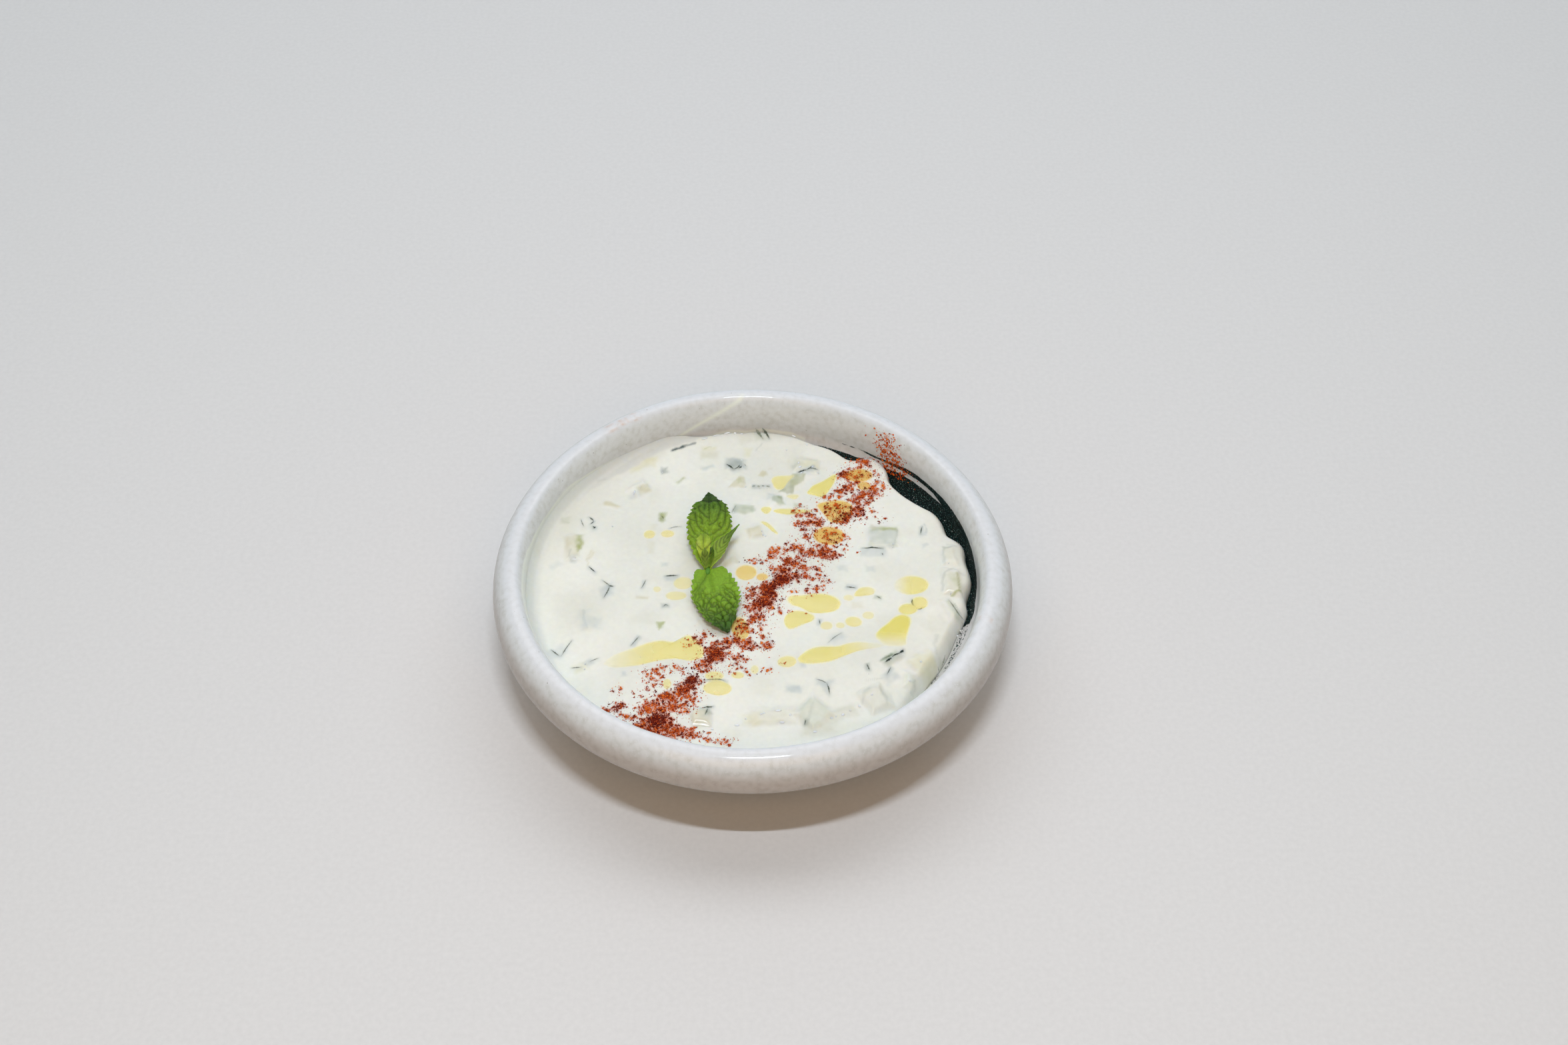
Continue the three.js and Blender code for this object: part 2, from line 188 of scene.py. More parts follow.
def cell_edges(x: Array, y: Array, size: float, seed: int) -> Array:
    """Measure how far a place is from the border between two random cells.

    Each square of side size holds one seeded point, and the value is the distance to the second
    nearest point less the distance to the nearest.

    Args:
        x: first coordinate, mm.
        y: second coordinate, mm.
        size: mean width of a cell, mm.
        seed: seed of the points.

    Returns:
        0 on a border, growing towards the middle of a cell, in mm.
    """
    shift = np.random.default_rng(seed).uniform(0.1, 0.9, (64, 64, 2))
    column, row = np.floor(x / size).astype(int), np.floor(y / size).astype(int)
    found = []
    for i in (-1, 0, 1):
        for j in (-1, 0, 1):
            spot = shift[(column + i) % 64, (row + j) % 64]
            away_x = (column + i + spot[..., 0]) * size - x
            away_y = (row + j + spot[..., 1]) * size - y
            found.append(np.hypot(away_x, away_y))
    nearest = np.sort(np.stack(found), axis=0)
    return nearest[1] - nearest[0]


@dataclass
class Surface:
    """A closed surface as arrays, with its points in mm."""

    points: Array
    faces: list[Array]  # each (n, corners)
    values: dict[str, Array] = field(default_factory=dict)  # a number or a colour per point
    wrap: Array | None = None  # a UV pair per point

    @staticmethod
    def joined(surfaces: list[Surface]) -> Surface:
        """Put several surfaces that carry the same values into one."""
        starts = np.cumsum([0] + [len(surface.points) for surface in surfaces])
        faces = [f + start for surface, start in zip(surfaces, starts) for f in surface.faces]
        values = {
            name: np.concatenate([surface.values[name] for surface in surfaces])
            for name in surfaces[0].values
        }
        return Surface(np.concatenate([surface.points for surface in surfaces]), faces, values)


def grid_faces(rows: int, columns: int, closed: bool, first: int = 0) -> Array:
    """List the quads of a grid of points that is stored row by row.

    Args:
        rows: number of rows.
        columns: points in a row.
        closed: whether each row closes on itself.
        first: number of the grid's first point.

    Returns:
        An (n, 4) array of point numbers, turning from a row to the next and then along it.
    """
    row = np.arange(rows - 1)[:, None] * columns
    here = np.arange(columns if closed else columns - 1)[None, :]
    after = (here + 1) % columns
    quads = np.stack([row + here, row + columns + here, row + columns + after, row + after], -1)
    return quads.reshape(-1, 4) + first


def fan_faces(ring: Array, middle: int) -> Array:
    """List the triangles between a closed ring of points and a middle point."""
    return np.stack([ring, np.roll(ring, -1), np.full(len(ring), middle)], -1)


def points_along(line: Line, share: Array) -> Array:
    """Give the points at shares of the way along a line, each of its stretches counting alike."""
    corners = np.array(line)
    marks = np.linspace(0, 1, len(corners))
    return np.column_stack([np.interp(share, marks, corners[:, i]) for i in (0, 1)])


def tube_faces(rows: int, count: int, flipped: bool = False) -> list[Array]:
    """List the faces of a closed tube: rings of points, then the middles of its two ends.

    Args:
        rows: number of rings.
        count: points in a ring.
        flipped: whether the faces turn the other way.

    Returns:
        The quads of the wall and the triangles of the two ends.
    """
    ring, after = np.arange(count), rows * count
    faces = [
        grid_faces(rows, count, True), fan_faces(ring, after),
        fan_faces(after - count + ring, after + 1)[:, ::-1],
    ]
    return [part[:, ::-1] for part in faces] if flipped else faces


def rim_numbers(rows: int, columns: int) -> Array:
    """List the points round the rim of a grid, from the first one and along its first column."""
    numbers = np.arange(rows * columns).reshape(rows, columns)
    return np.concatenate([
        numbers[:-1, 0], numbers[-1, :-1], numbers[:0:-1, -1], numbers[0, :0:-1],
    ])


def make_piece(
    name: str,
    surface: Surface,
    finish: bpy.types.Material,
    replaces: tuple[str, ...] = (),
) -> bpy.types.Object:
    """Make a mesh object of a surface, dress it and report it.

    Args:
        name: the piece's name.
        surface: its shape and values.
        finish: its material.
        replaces: CAD nodes that it stands for.

    Returns:
        The new object, with its place in its mesh.
    """
    corners = np.concatenate([faces.ravel() for faces in surface.faces])
    sizes = np.concatenate([np.full(len(faces), faces.shape[1]) for faces in surface.faces])
    mesh = bpy.data.meshes.new(name)
    mesh.vertices.add(len(surface.points))
    mesh.vertices.foreach_set("co", (surface.points * MM).astype(np.float32).ravel())
    mesh.loops.add(len(corners))
    mesh.loops.foreach_set("vertex_index", corners.astype(np.int32))
    mesh.polygons.add(len(sizes))
    mesh.polygons.foreach_set("loop_start", np.concatenate([[0], np.cumsum(sizes)[:-1]]))
    mesh.update(calc_edges=True)
    mesh.polygons.foreach_set("use_smooth", np.ones(len(sizes), dtype=bool))
    for value_name, values in surface.values.items():
        if values.ndim == 1:
            layer = mesh.attributes.new(value_name, "FLOAT", "POINT")
            layer.data.foreach_set("value", values.astype(np.float32))
        else:
            layer = mesh.attributes.new(value_name, "FLOAT_COLOR", "POINT")
            rows = np.column_stack([values, np.ones(len(values))])
            layer.data.foreach_set("color", rows.astype(np.float32).ravel())
    if surface.wrap is not None:
        layer = mesh.uv_layers.new(name="wrap")
        layer.data.foreach_set("uv", surface.wrap[corners].astype(np.float32).ravel())
    mesh.materials.append(finish)
    piece = bpy.data.objects.new(name, mesh)
    bpy.context.scene.collection.objects.link(piece)
    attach(piece, "root")
    if replaces:
        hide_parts(*replaces)
    LOG.info("%s: %d points, %d triangles", name, len(surface.points), int((sizes - 2).sum()))
    return piece


# ------------------------------------------------------------------ finishes


Started = tuple[bpy.types.Material, bpy.types.NodeTree, bpy.types.Node]
Colour = bpy.types.NodeSocket | tuple[float, ...]


def start_material(name: str) -> Started:
    """Make a material that holds one surface shader.

    Args:
        name: what the real material is.

    Returns:
        The material, its node tree and its shader.
    """
    material = bpy.data.materials.new(name)
    material.use_nodes = True
    tree = material.node_tree
    tree.nodes.clear()
    shader = add_node(tree, "ShaderNodeBsdfPrincipled")
    add_node(tree, "ShaderNodeOutputMaterial", inputs={"Surface": shader.outputs["BSDF"]})
    return material, tree, shader


def start_grained(
    name: str, size: float, detail: float, shades: tuple[float, float],
    relief: tuple[float, float] | None = None, tone: str = "",
) -> Started:
    """Start a material whose colour a fine grain darkens and lightens.

    The colour is the piece's own tint, or one tone, times a share that runs with a noise. The
    same noise makes the surface uneven.

    Args:
        name: what the real material is.
        size: mm across the grain.
        detail: how many finer layers the grain has.
        shades: the colour's share in the hollows and on the tops of the grain.
        relief: strength and height in mm of the unevenness.
        tone: one colour for the whole piece, in place of its tint.

    Returns:
        The material, its node tree and its shader.
    """
    material, tree, shader = start_material(name)
    place = add_node(tree, "ShaderNodeTexCoord").outputs["Object"]
    grain = add_node(
        tree, "ShaderNodeTexNoise",
        inputs={"Vector": place, "Scale": per_mm(size), "Detail": detail},
    ).outputs["Fac"]
    shade = add_node(tree, "ShaderNodeMapRange", inputs={
        "Value": grain, "From Min": 0.3, "From Max": 0.7, "To Min": shades[0],
        "To Max": shades[1],
    })
    colour = add_node(tree, "ShaderNodeVectorMath", {"operation": "SCALE"}, {
        "Vector": linear(tone)[:3] if tone else "tint",
        "Scale": shade.outputs["Result"],
    })
    fill(tree, shader, {"Base Color": colour.outputs["Vector"]})
    if relief:
        bump = add_node(tree, "ShaderNodeBump", inputs={
            "Strength": relief[0], "Distance": relief[1] * MM, "Height": grain,
        })
        fill(tree, shader, {"Normal": bump.outputs["Normal"]})
    return material, tree, shader


def spread(
    tree: bpy.types.NodeTree, under: Colour, tone: str, pattern: bpy.types.NodeSocket,
    between: tuple[float, float], share: tuple[float, float] = (0.0, 1.0), eased: bool = True,
) -> bpy.types.NodeSocket:
    """Spread a tone over a colour where a pattern runs from one value to another.

    Args:
        tree: the material's node tree.
        under: the colour below.
        tone: the colour that goes over it.
        pattern: the value that decides.
        between: the pattern's two values.
        share: how much of the tone lies at the first and at the second of them.
        eased: whether it changes by an eased step, or else evenly.

    Returns:
        The colour with the tone on it.
    """
    amount = add_node(
        tree, "ShaderNodeMapRange", {"interpolation_type": "SMOOTHSTEP" if eased else "LINEAR"},
        {"Value": pattern, "From Min": between[0], "From Max": between[1], "To Min": share[0],
         "To Max": share[1]},
    )
    laid = add_node(
        tree, "ShaderNodeMix", {"data_type": "RGBA"},
        {"Factor": amount.outputs["Result"], "A": under, "B": linear(tone)},
    )
    return laid.outputs["Result"]


def marked(
    tree: bpy.types.NodeTree, under: Colour, marks: dict[str, tuple[str, str]]
) -> bpy.types.NodeSocket:
    """Lay tones over a colour, each as far as a number that the mesh carries says.

    Args:
        tree: the material's node tree.
        under: the colour below.
        marks: each number's name, with its tone and the way to lay it, in Blender's words.

    Returns:
        The colour with all of them on it.
    """
    for name, (tone, way) in marks.items():
        laid = add_node(
            tree, "ShaderNodeMix", {"data_type": "RGBA", "blend_type": way},
            {"Factor": name, "A": under, "B": linear(tone)},
        )
        under = laid.outputs["Result"]
    return under


@dataclass(frozen=True)
class SpeckledGlaze:
    """Semi-gloss stoneware glaze over brushwork, dipped and fired.

    The glaze breaks into grey and white clouds a few mm wide, with fine iron specks, and it pools
    to a hard shine. The brushwork under it is a dark green oxide with pale flecks.
    """

    body: str = "#D8D7D6"
    # Multiplied over the outside, more towards the underside: painted shade.
    outside: str = "#D2C4BB"
    cloud: str = "#CAC8C4"
    white: str = "#E4E4E7"
    # Mixed over the rim's crest: partly the glaze thinning there, partly a painted highlight.
    crest: str = "#DBDDE3"
    speck: str = "#9A948C"
    oxide: str = "#041415"
    oxide_light: str = "#1D524D"
    oxide_fleck: str = "#8DB3AC"
    film: str = "#E9EADF"
    stain: str = "#C4822A"
    cloud_size: float = 1.8  # mm across a cloud
    grain_size: float = 0.9
    speck_gap: float = 4.5  # mm from one iron speck to the next

    def material(self) -> bpy.types.Material:
        """Make the glaze's material."""
        material, tree, shader = start_material("speckled_stoneware_glaze")
        place = add_node(tree, "ShaderNodeTexCoord").outputs["Object"]
        clouds = add_node(tree, "ShaderNodeTexNoise", inputs={
            "Vector": place, "Scale": per_mm(self.cloud_size), "Detail": 4.0, "Roughness": 0.62,
        }).outputs["Fac"]
        grain = add_node(tree, "ShaderNodeTexNoise", inputs={
            "Vector": place, "Scale": per_mm(self.grain_size), "Detail": 2.0,
        }).outputs["Fac"]
        specks = add_node(tree, "ShaderNodeTexVoronoi", {"feature": "F1"}, {
            "Vector": place, "Scale": per_mm(self.speck_gap), "Randomness": 1.0,
        }).outputs["Distance"]
        colour = spread(tree, linear(self.body), self.cloud, clouds, (0.42, 0.66))
        colour = spread(tree, colour, self.white, grain, (0.48, 0.7), (0.0, 0.5), eased=False)
        # A painted highlight on the crest, and painted shade down the outside.
        colour = marked(tree, colour, {
            "crest": (self.crest, "MIX"), "below": (self.outside, "MULTIPLY"),
        })
        colour = spread(tree, colour, self.speck, specks, (0.03, 0.055), (0.8, 0.0))
        colour = self._brushwork(tree, colour)
        colour = marked(tree, colour, {
            "film": (self.film, "MIX"), "stain": (self.stain, "MIX"),
        })
        peel = add_node(tree, "ShaderNodeBump", inputs={
            "Strength": 0.15, "Distance": 0.2 * MM, "Height": clouds,
        })
        fill(tree, shader, {
            "Base Color": colour, "Normal": peel.outputs["Normal"], "Roughness": 0.45,
            "Specular IOR Level": 0.15, "Coat Weight": 0.55, "Coat Roughness": 0.09,
        })
        return material

    def _brushwork(
        self, tree: bpy.types.NodeTree, under: bpy.types.NodeSocket
    ) -> bpy.types.NodeSocket:
        """Lay the oxide over the glaze, solid where the brush was full and flecked where dry.

        The patterns run on the wrapped coordinates, in mm round and up the wall, so that a scale
        is a count in each mm. The bristles' lines are 2 mm long and 0.4 mm apart, and the flecks
        and the crystals are 0.7 and 0.4 mm wide.

        Args:
            tree: the material's node tree.
            under: the colour of the glaze.

        Returns:
            The colour with the brushwork on it.
        """
        wrap = add_node(tree, "ShaderNodeUVMap", {"uv_map": "wrap"}).outputs["UV"]
        drawn_out = add_node(
            tree, "ShaderNodeMapping", inputs={"Vector": wrap, "Scale": (0.35, 1.6, 1.0)}
        )
        hairs, flecks, crystals = (
            add_node(tree, "ShaderNodeTexNoise", inputs={
                "Vector": vector, "Scale": scale, "Detail": detail, "Roughness": roughness,
            }).outputs["Fac"]
            for vector, scale, detail, roughness in (
                (drawn_out.outputs["Vector"], 1.5, 3.0, 0.5), (wrap, 1.35, 2.0, 0.6),
                (wrap, 2.6, 1.5, 0.5),
            )
        )
        frayed = add_node(
            tree, "ShaderNodeMath", {"operation": "MULTIPLY_ADD"},
            {0: hairs, 1: 0.7, 2: "brush"},
        )
        thirst = add_node(
            tree, "ShaderNodeMath", {"operation": "SUBTRACT"}, {0: flecks, 1: "dry"}
        )
        inked, held = (
            add_node(
                tree, "ShaderNodeMapRange", {"interpolation_type": "SMOOTHSTEP"},
                {"Value": value.outputs["Value"], "From Min": low, "From Max": high},
            ).outputs["Result"]
            for value, low, high in ((frayed, 0.28, 0.5), (thirst, -0.04, 0.04))
        )
        share = add_node(tree, "ShaderNodeMath", {"operation": "MULTIPLY"}, {0: inked, 1: held})
        tone = spread(
            tree, linear(self.oxide), self.oxide_light, flecks, (0.56, 0.74), (0.0, 0.75),
            eased=False,
        )
        tone = spread(tree, tone, self.oxide_fleck, crystals, (0.62, 0.7), (0.0, 0.8))
        laid = add_node(
            tree, "ShaderNodeMix", {"data_type": "RGBA"},
            {"Factor": share.outputs["Value"], "A": under, "B": tone},
        )
        return laid.outputs["Result"]


@dataclass(frozen=True)
class StrainedYoghurt:
    """Strained yoghurt, stirred and smoothed with a spoon.

    Fat and protein scatter light under the skin of it, so it looks deep and creamy, and its wet
    surface keeps a soft shine that tightens on every bump.
    """

    curd_size: float = 1.6  # mm across the faint unevenness of the curd
    depth: float = 1.4  # mm that light travels under the surface

    def material(self) -> bpy.types.Material:
        """Make the yoghurt's material."""
        material, tree, shader = start_grained(
            "strained_yoghurt", self.curd_size, 3.0, (0.975, 1.015), (0.3, 0.08)
        )
        fill(tree, shader, {
            "Roughness": 0.2, "IOR": 1.38, "Subsurface Weight": 0.7,
            "Subsurface Radius": (1.0, 0.8, 0.55), "Subsurface Scale": self.depth * MM,
        })
        return material


@dataclass(frozen=True)
class CucumberFlesh:
    """Raw cucumber, cut in dice with its skin on.

    The flesh is wet and half clear, so the yoghurt shows through it, and the skin is dark, smooth
    and waxy.
    """

    fibre_size: float = 0.7  # mm across the fibres

    def material(self) -> bpy.types.Material:
        """Make the cucumber's material."""
        material, tree, shader = start_grained(
            "cut_cucumber", self.fibre_size, 2.0, (0.75, 1.25), (0.4, 0.1)
        )
        fill(tree, shader, {"Alpha": "cover", "Roughness": 0.25, "IOR": 1.35})
        return material


@dataclass(frozen=True)
class OliveOilFinish:
    """Olive oil, poured in thin pools.

    A clear golden liquid: pale where it thins out, stronger where it is deep, and as smooth as
    glass on top.
    """

    def material(self) -> bpy.types.Material:
        """Make the oil's material."""
        material, tree, shader = start_material("olive_oil")
        fill(tree, shader, {
            "Base Color": "tint", "Alpha": "cover",
            "Roughness": 0.06, "IOR": 1.47,
        })
        return material


@dataclass(frozen=True)
class GroundPaprika:
    """Coarse paprika: crushed flakes of dried red pepper skin, dull, and darker where wet."""

    grit_size: float = 0.35  # mm across the grit on a flake

    def material(self) -> bpy.types.Material:
        """Make the paprika's material."""
        material, tree, shader = start_grained(
            "ground_paprika", self.grit_size, 1.0, (0.75, 1.2)
        )
        fill(tree, shader, {"Roughness": 0.7, "Specular IOR Level": 0.12})
        return material


@dataclass(frozen=True)
class FreshMint:
    """A fresh mint leaf: quilted, slightly hairy and satin, with light shining through it."""

    skin_size: float = 0.6  # mm across the unevenness of the skin
    depth: float = 0.5  # mm that light travels under the surface

    def material(self) -> bpy.types.Material:
        """Make the leaf's material."""
        material, tree, shader = start_grained(
            "fresh_mint_leaf", self.skin_size, 3.0, (0.86, 1.14), (0.5, 0.08)
        )
        fill(tree, shader, {
            "Roughness": 0.45, "Specular IOR Level": 0.2, "Subsurface Weight": 0.12,
            "Subsurface Scale": self.depth * MM,
        })
        return material


# ------------------------------------------------------------------ the bowl


def out_of_round(angle: Array) -> Array:
    """Give how much the hand-thrown bowl widens in a direction (radians).

    The widening is 1 plus two cosine waves, of two and of three lobes.
    """
    return 1 + 0.0033 * np.cos(2 * angle + 1.57) + 0.002 * np.cos(3 * angle + 0.41)


def path_distance(x: Array, y: Array, path: Array, closed: bool = False) -> Array:
    """Give the distance to a path of straight stretches, 9 where it is more than 3 mm away.

    Args:
        x: places, mm.
        y: places, mm.
        path: the path's corners.
        closed: whether it closes on itself, so that the value is negative inside it.
    """
    path = np.asarray(path, dtype=float)
    low, high = path.min(axis=0) - 3, path.max(axis=0) + 3
    near = (x > low[0]) & (x < high[0]) & (y > low[1]) & (y < high[1])
    here_x, here_y = x[near], y[near]
    away, inside = np.full(here_x.shape, 9.0), np.zeros(here_x.shape, dtype=bool)
    stretches = list(zip(path, np.roll(path, -1, axis=0)))
    for start, end in stretches if closed else stretches[:-1]:
        step = end - start
        share = (here_x - start[0]) * step[0] + (here_y - start[1]) * step[1]
        share = np.clip(share / max(step @ step, 1e-9), 0, 1)
        gap = np.hypot(here_x - start[0] - share * step[0], here_y - start[1] - share * step[1])
        away = np.minimum(away, gap)
        if closed:
            crossed = (start[1] > here_y) != (end[1] > here_y)
            inside ^= crossed & (here_x < start[0] + (here_y - start[1]) * step[0] / (step[1] or 1))
    result = np.full(x.shape, 9.0)
    result[near] = np.where(inside, -away, away)
    return result


def bezier(start: Array, pull: Array, end: Array, steps: int) -> Array:
    """Follow a quadratic curve from start, drawn towards pull, to end, without its first point."""
    share = np.linspace(0, 1, steps + 1)[1:, None]
    return (1 - share) ** 2 * start + 2 * share * (1 - share) * pull + share**2 * end


@dataclass
class Bowl:
    """A shallow bowl with a rolled rim on a foot ring, and brushwork round the inside wall."""

    height: float = 38.0
    belly_radius: float = 80.0
    belly_height: float = 28.0
    crest: float = 73.1
    throat_radius: float = 69.8
    throat_height: float = 30.5
    wall_foot: float = 26.0
    fillet_width: float = 26.0
    fillet_depth: float = 14.5
    fine_from: float = -34.0  # degrees between which the columns are close together
    fine_to: float = 128.0
    unrolled_radius: float = 69.0  # where a mm of the wrapped pattern is a mm of the wall
    # Brush strokes, each row: direction in degrees, lower edge and upper edge on the wall in mm.
    band: Rows = (
        (74.3, 21.4, 21.6), (73.6, 19.5, 21.8), (70.8, 17, 22), (66.8, 16, 22), (63.2, 15, 22.1),
        (60.2, 15, 22.1), (57.9, 15, 22.6), (51.4, 15, 22.9), (48.8, 15, 23.5), (46, 15, 24),
        (41.6, 15, 24.4), (37.5, 15, 24.7), (33.5, 15, 25.0), (29.8, 15, 25.6), (27, 15, 27.4),
        (24, 15, 28.9), (20, 15, 28.9), (15.2, 15, 28.6), (10.4, 15, 28.1), (6.9, 15, 26.6),
        (3.1, 15, 25.4), (-0.2, 15, 23.8), (-2.9, 15, 22.5), (-5.8, 15, 22.1), (-7.9, 15, 21.1),
        (-8.8, 15, 19.6), (-9.3, 15, 15.2),
    )
    outer_stroke: Rows = (
        (60.6, 25.1, 25.3), (57.9, 24.6, 25.3), (55.3, 24.4, 25.2), (52.7, 24.7, 25.6),
        (50, 24.9, 26.1), (47.3, 25.2, 27.0), (44.4, 25.7, 27.7), (41, 26.2, 28.3),
        (37.8, 26.4, 28.4), (33.8, 26.6, 28.6), (30.4, 25.6, 28.9), (27, 25.2, 29.0),
        (24, 25.2, 29.0),
    )
    dashes: Rows = (
        (65.8, 24.6, 24.7), (65.2, 24.55, 24.95), (64.3, 24.6, 25.0), (63.8, 24.8, 24.9),
        (63.3, 25.0, 24.8), (62.8, 24.7, 25.0), (61.8, 24.75, 25.15), (61.1, 25.0, 25.1),
    )
    dry_tail: Rows = (
        (-7.5, 18.2, 19.6), (-9.7, 17.8, 18.9), (-12.5, 17.4, 18.5), (-15.2, 17.2, 18.2),
        (-18.8, 17, 18), (-21.6, 16.8, 17.8), (-23.9, 16.5, 17.5), (-26, 16, 17),
        (-29.6, 15.3, 16.2), (-33, 15, 15.4),
    )
    outer_tail: Rows = (
        (-7.6, 19.8, 20.7), (-10.1, 19.2, 20.1), (-12.1, 18.7, 19.5), (-15.5, 18.3, 18.9),
        (-18.8, 17.9, 18.2),
    )
    # Orange marks on the rim: direction and half-width in degrees, and height.
    rim_stains: Rows = (
        (128.9, 1.6, 37.6), (125.2, 1.7, 37.8), (121.7, 1.2, 37.6), (-18.6, 0.8, 37.4),
    )
    stain_height: float = 0.32
    # The line of the drip that ran down the back wall: direction and height.
    drip_line: Line = ((92.5, 37.9), (93.8, 36.9), (100.2, 32.5), (107.8, 27.5), (114, 23.6))
    drip_width: float = 0.85
    # The smear that the dip left on the wall: direction and the height that it reaches.
    smear: Line = (
        (76, 23), (80, 24.5), (84, 25), (88, 25.6), (92, 24.2), (97, 24.6), (105, 22.6),
        (114, 23.6), (118.4, 24.4), (123.8, 26.3), (129.6, 27.8), (138, 28.2), (147.7, 30.9),
        (156.8, 31.2), (166.5, 32.2), (174.2, 33.7), (182, 34.9), (190, 35.8), (205, 35), (225, 31),
        (250, 27), (290, 25), (320, 23), (345, 20),
    )

    def inside_height(self, radius: Array) -> Array:
        """Give the height of the inside at a distance from the axis.

        It is the wall's foot less the drop of an ellipse whose middle is a fillet's width
        inside the wall.
        """
        across = np.maximum(0, radius - (self.throat_radius - self.fillet_width))
        share = np.clip(1 - (across / self.fillet_width) ** 2, 0, 1)
        return self.wall_foot - self.fillet_depth * np.sqrt(share)

    def wall_radius(self, height: Array) -> Array:
        """Give the distance of the inside wall from the axis at a height, by the same ellipse."""
        down = np.clip((self.wall_foot - height) / self.fillet_depth, 0, 1)
        fillet = self.throat_radius - self.fillet_width * (1 - np.sqrt(1 - down**2))
        up = np.clip((height - self.throat_height) / (self.height - self.throat_height), 0, 1)
        lip = self.crest - (self.crest - self.throat_radius) * np.sqrt(1 - up**2)
        return np.where(height > self.throat_height, lip, fillet)

    def profile(self) -> Array:
        """Trace the section from the underside's middle round the rim to the floor's middle.

        Returns:
            Rows of distance from the axis and height.
        """
        foot = np.array([
            [0, 5.4], [18, 5.4], [30, 5.4], [36.4, 5.4], [36.75, 5.1], [37.5, 0.8], [37.8, 0.3],
            [38.3, 0], [39.8, 0], [41.2, 0], [41.8, 0.3], [42, 0.8],
        ])
        start, turn = np.array([44.5, 4.6]), np.array([78.5, 24.9])
        widest = np.array([self.belly_radius, self.belly_height])
        under = bezier(start, self._meeting(start, 11, turn, 50), turn, 22)
        roll = bezier(turn, self._meeting(turn, 50, widest, 90), widest, 5)
        outside = np.linspace(0, math.pi / 2, 19)[1:]
        rim_out = np.column_stack([
            self.crest + (self.belly_radius - self.crest) * np.cos(outside),
            self.belly_height + (self.height - self.belly_height) * np.sin(outside),
        ])
        inside = np.linspace(math.pi / 2, math.pi, 15)[1:]
        rim_in = np.column_stack([
            self.crest + (self.crest - self.throat_radius) * np.cos(inside),
            self.throat_height + (self.height - self.throat_height) * np.sin(inside),
        ])
        wall_heights = np.arange(self.throat_height - 0.35, 17, -0.35)
        wall = np.column_stack([self.wall_radius(wall_heights), wall_heights])
        floor_radii = np.linspace(self.wall_radius(np.array(17.0)) - 1.5, 0, 16)
        floor = np.column_stack([floor_radii, self.inside_height(floor_radii)])
        return np.vstack([foot, start, under, roll, rim_out, rim_in, wall, floor])

    @staticmethod
    def _meeting(first: Array, first_slope: float, second: Array, second_slope: float) -> Array:
        """Find where a line out of each of two points meets the other, by slopes in degrees."""
        (run, climb), (far_run, far_climb) = (
            (math.cos(math.radians(slope)), math.sin(math.radians(slope)))
            for slope in (first_slope, second_slope)
        )
        gap = second - first
        share = (gap[0] * far_climb - gap[1] * far_run) / (run * far_climb - climb * far_run)
        return first + np.array([run, climb]) * share

    def columns(self) -> Array:
        """Give the directions of the mesh's columns in radians, close together at the brushwork."""
        fine = np.arange(self.fine_from, self.fine_to, 0.32)
        coarse = np.linspace(self.fine_to, self.fine_from + 360, 160)[:-1]
        return np.radians(np.concatenate([fine, coarse]))

    @staticmethod
    def _reach(rows: Rows, angle: Array, height: Array) -> Array:
        """Measure how far a place on the wall is inside a stroke.

        The edges are straight between the rows, and the value is the smaller of the distances
        below the upper edge, above the lower edge and inside the ends.

        Args:
            rows: direction, lower edge and upper edge of the stroke.
            angle: direction in degrees.
            height: height in mm.

        Returns:
            Millimetres, negative outside the stroke.
        """
        table = np.array(sorted(rows))
        low = np.interp(angle, table[:, 0], table[:, 1])
        high = np.interp(angle, table[:, 0], table[:, 2])
        ends = np.minimum(angle - table[0, 0], table[-1, 0] - angle) * 1.2
        return np.minimum(np.minimum(high - height, height - low), ends)

    def surface(self) -> Surface:
        """Turn the section round the axis, and mark the brushwork, the smear and the stains."""
        profile, angles = self.profile(), self.columns()
        rows, count = len(profile) - 2, len(angles)
        radius = profile[1:-1, :1] * out_of_round(angles)
        level = profile[1:-1, 1:]
        wobble = Hills(3, 17).at(angles * 76 + 400, 0 * angles)
        height = level + 0.16 * smooth(24, 38, level) * wobble
        ring = np.stack([radius * np.cos(angles), radius * np.sin(angles), height], -1)
        first, last = np.array([[0, 0, profile[0, 1]]]), np.array([[0, 0, profile[-1, 1]]])
        points = np.vstack([first, ring.reshape(-1, 3), last])
        faces = [
            grid_faces(rows, count, True, 1)[:, ::-1],
            fan_faces(1 + np.arange(count), 0)[:, ::-1],
            fan_faces(1 + (rows - 1) * count + np.arange(count), len(points) - 1),
        ]
        inner = np.arange(rows)[:, None] >= np.argmax(level) + 0 * angles[None, :]
        marks = self._marks(np.degrees(angles) + 0 * radius, level + 0 * radius, inner)
        values = {name: np.pad(value.ravel(), 1) for name, value in marks.items()}
        length = np.concatenate([[0], np.cumsum(np.hypot(*np.diff(profile, axis=0).T))])
        round_wall = np.pad((angles * self.unrolled_radius + 0 * radius).ravel(), 1)
        up_wall = np.concatenate([[0], (length[1:-1, None] + 0 * radius).ravel(), length[-1:]])
        return Surface(points, faces, values, np.column_stack([round_wall, up_wall]))

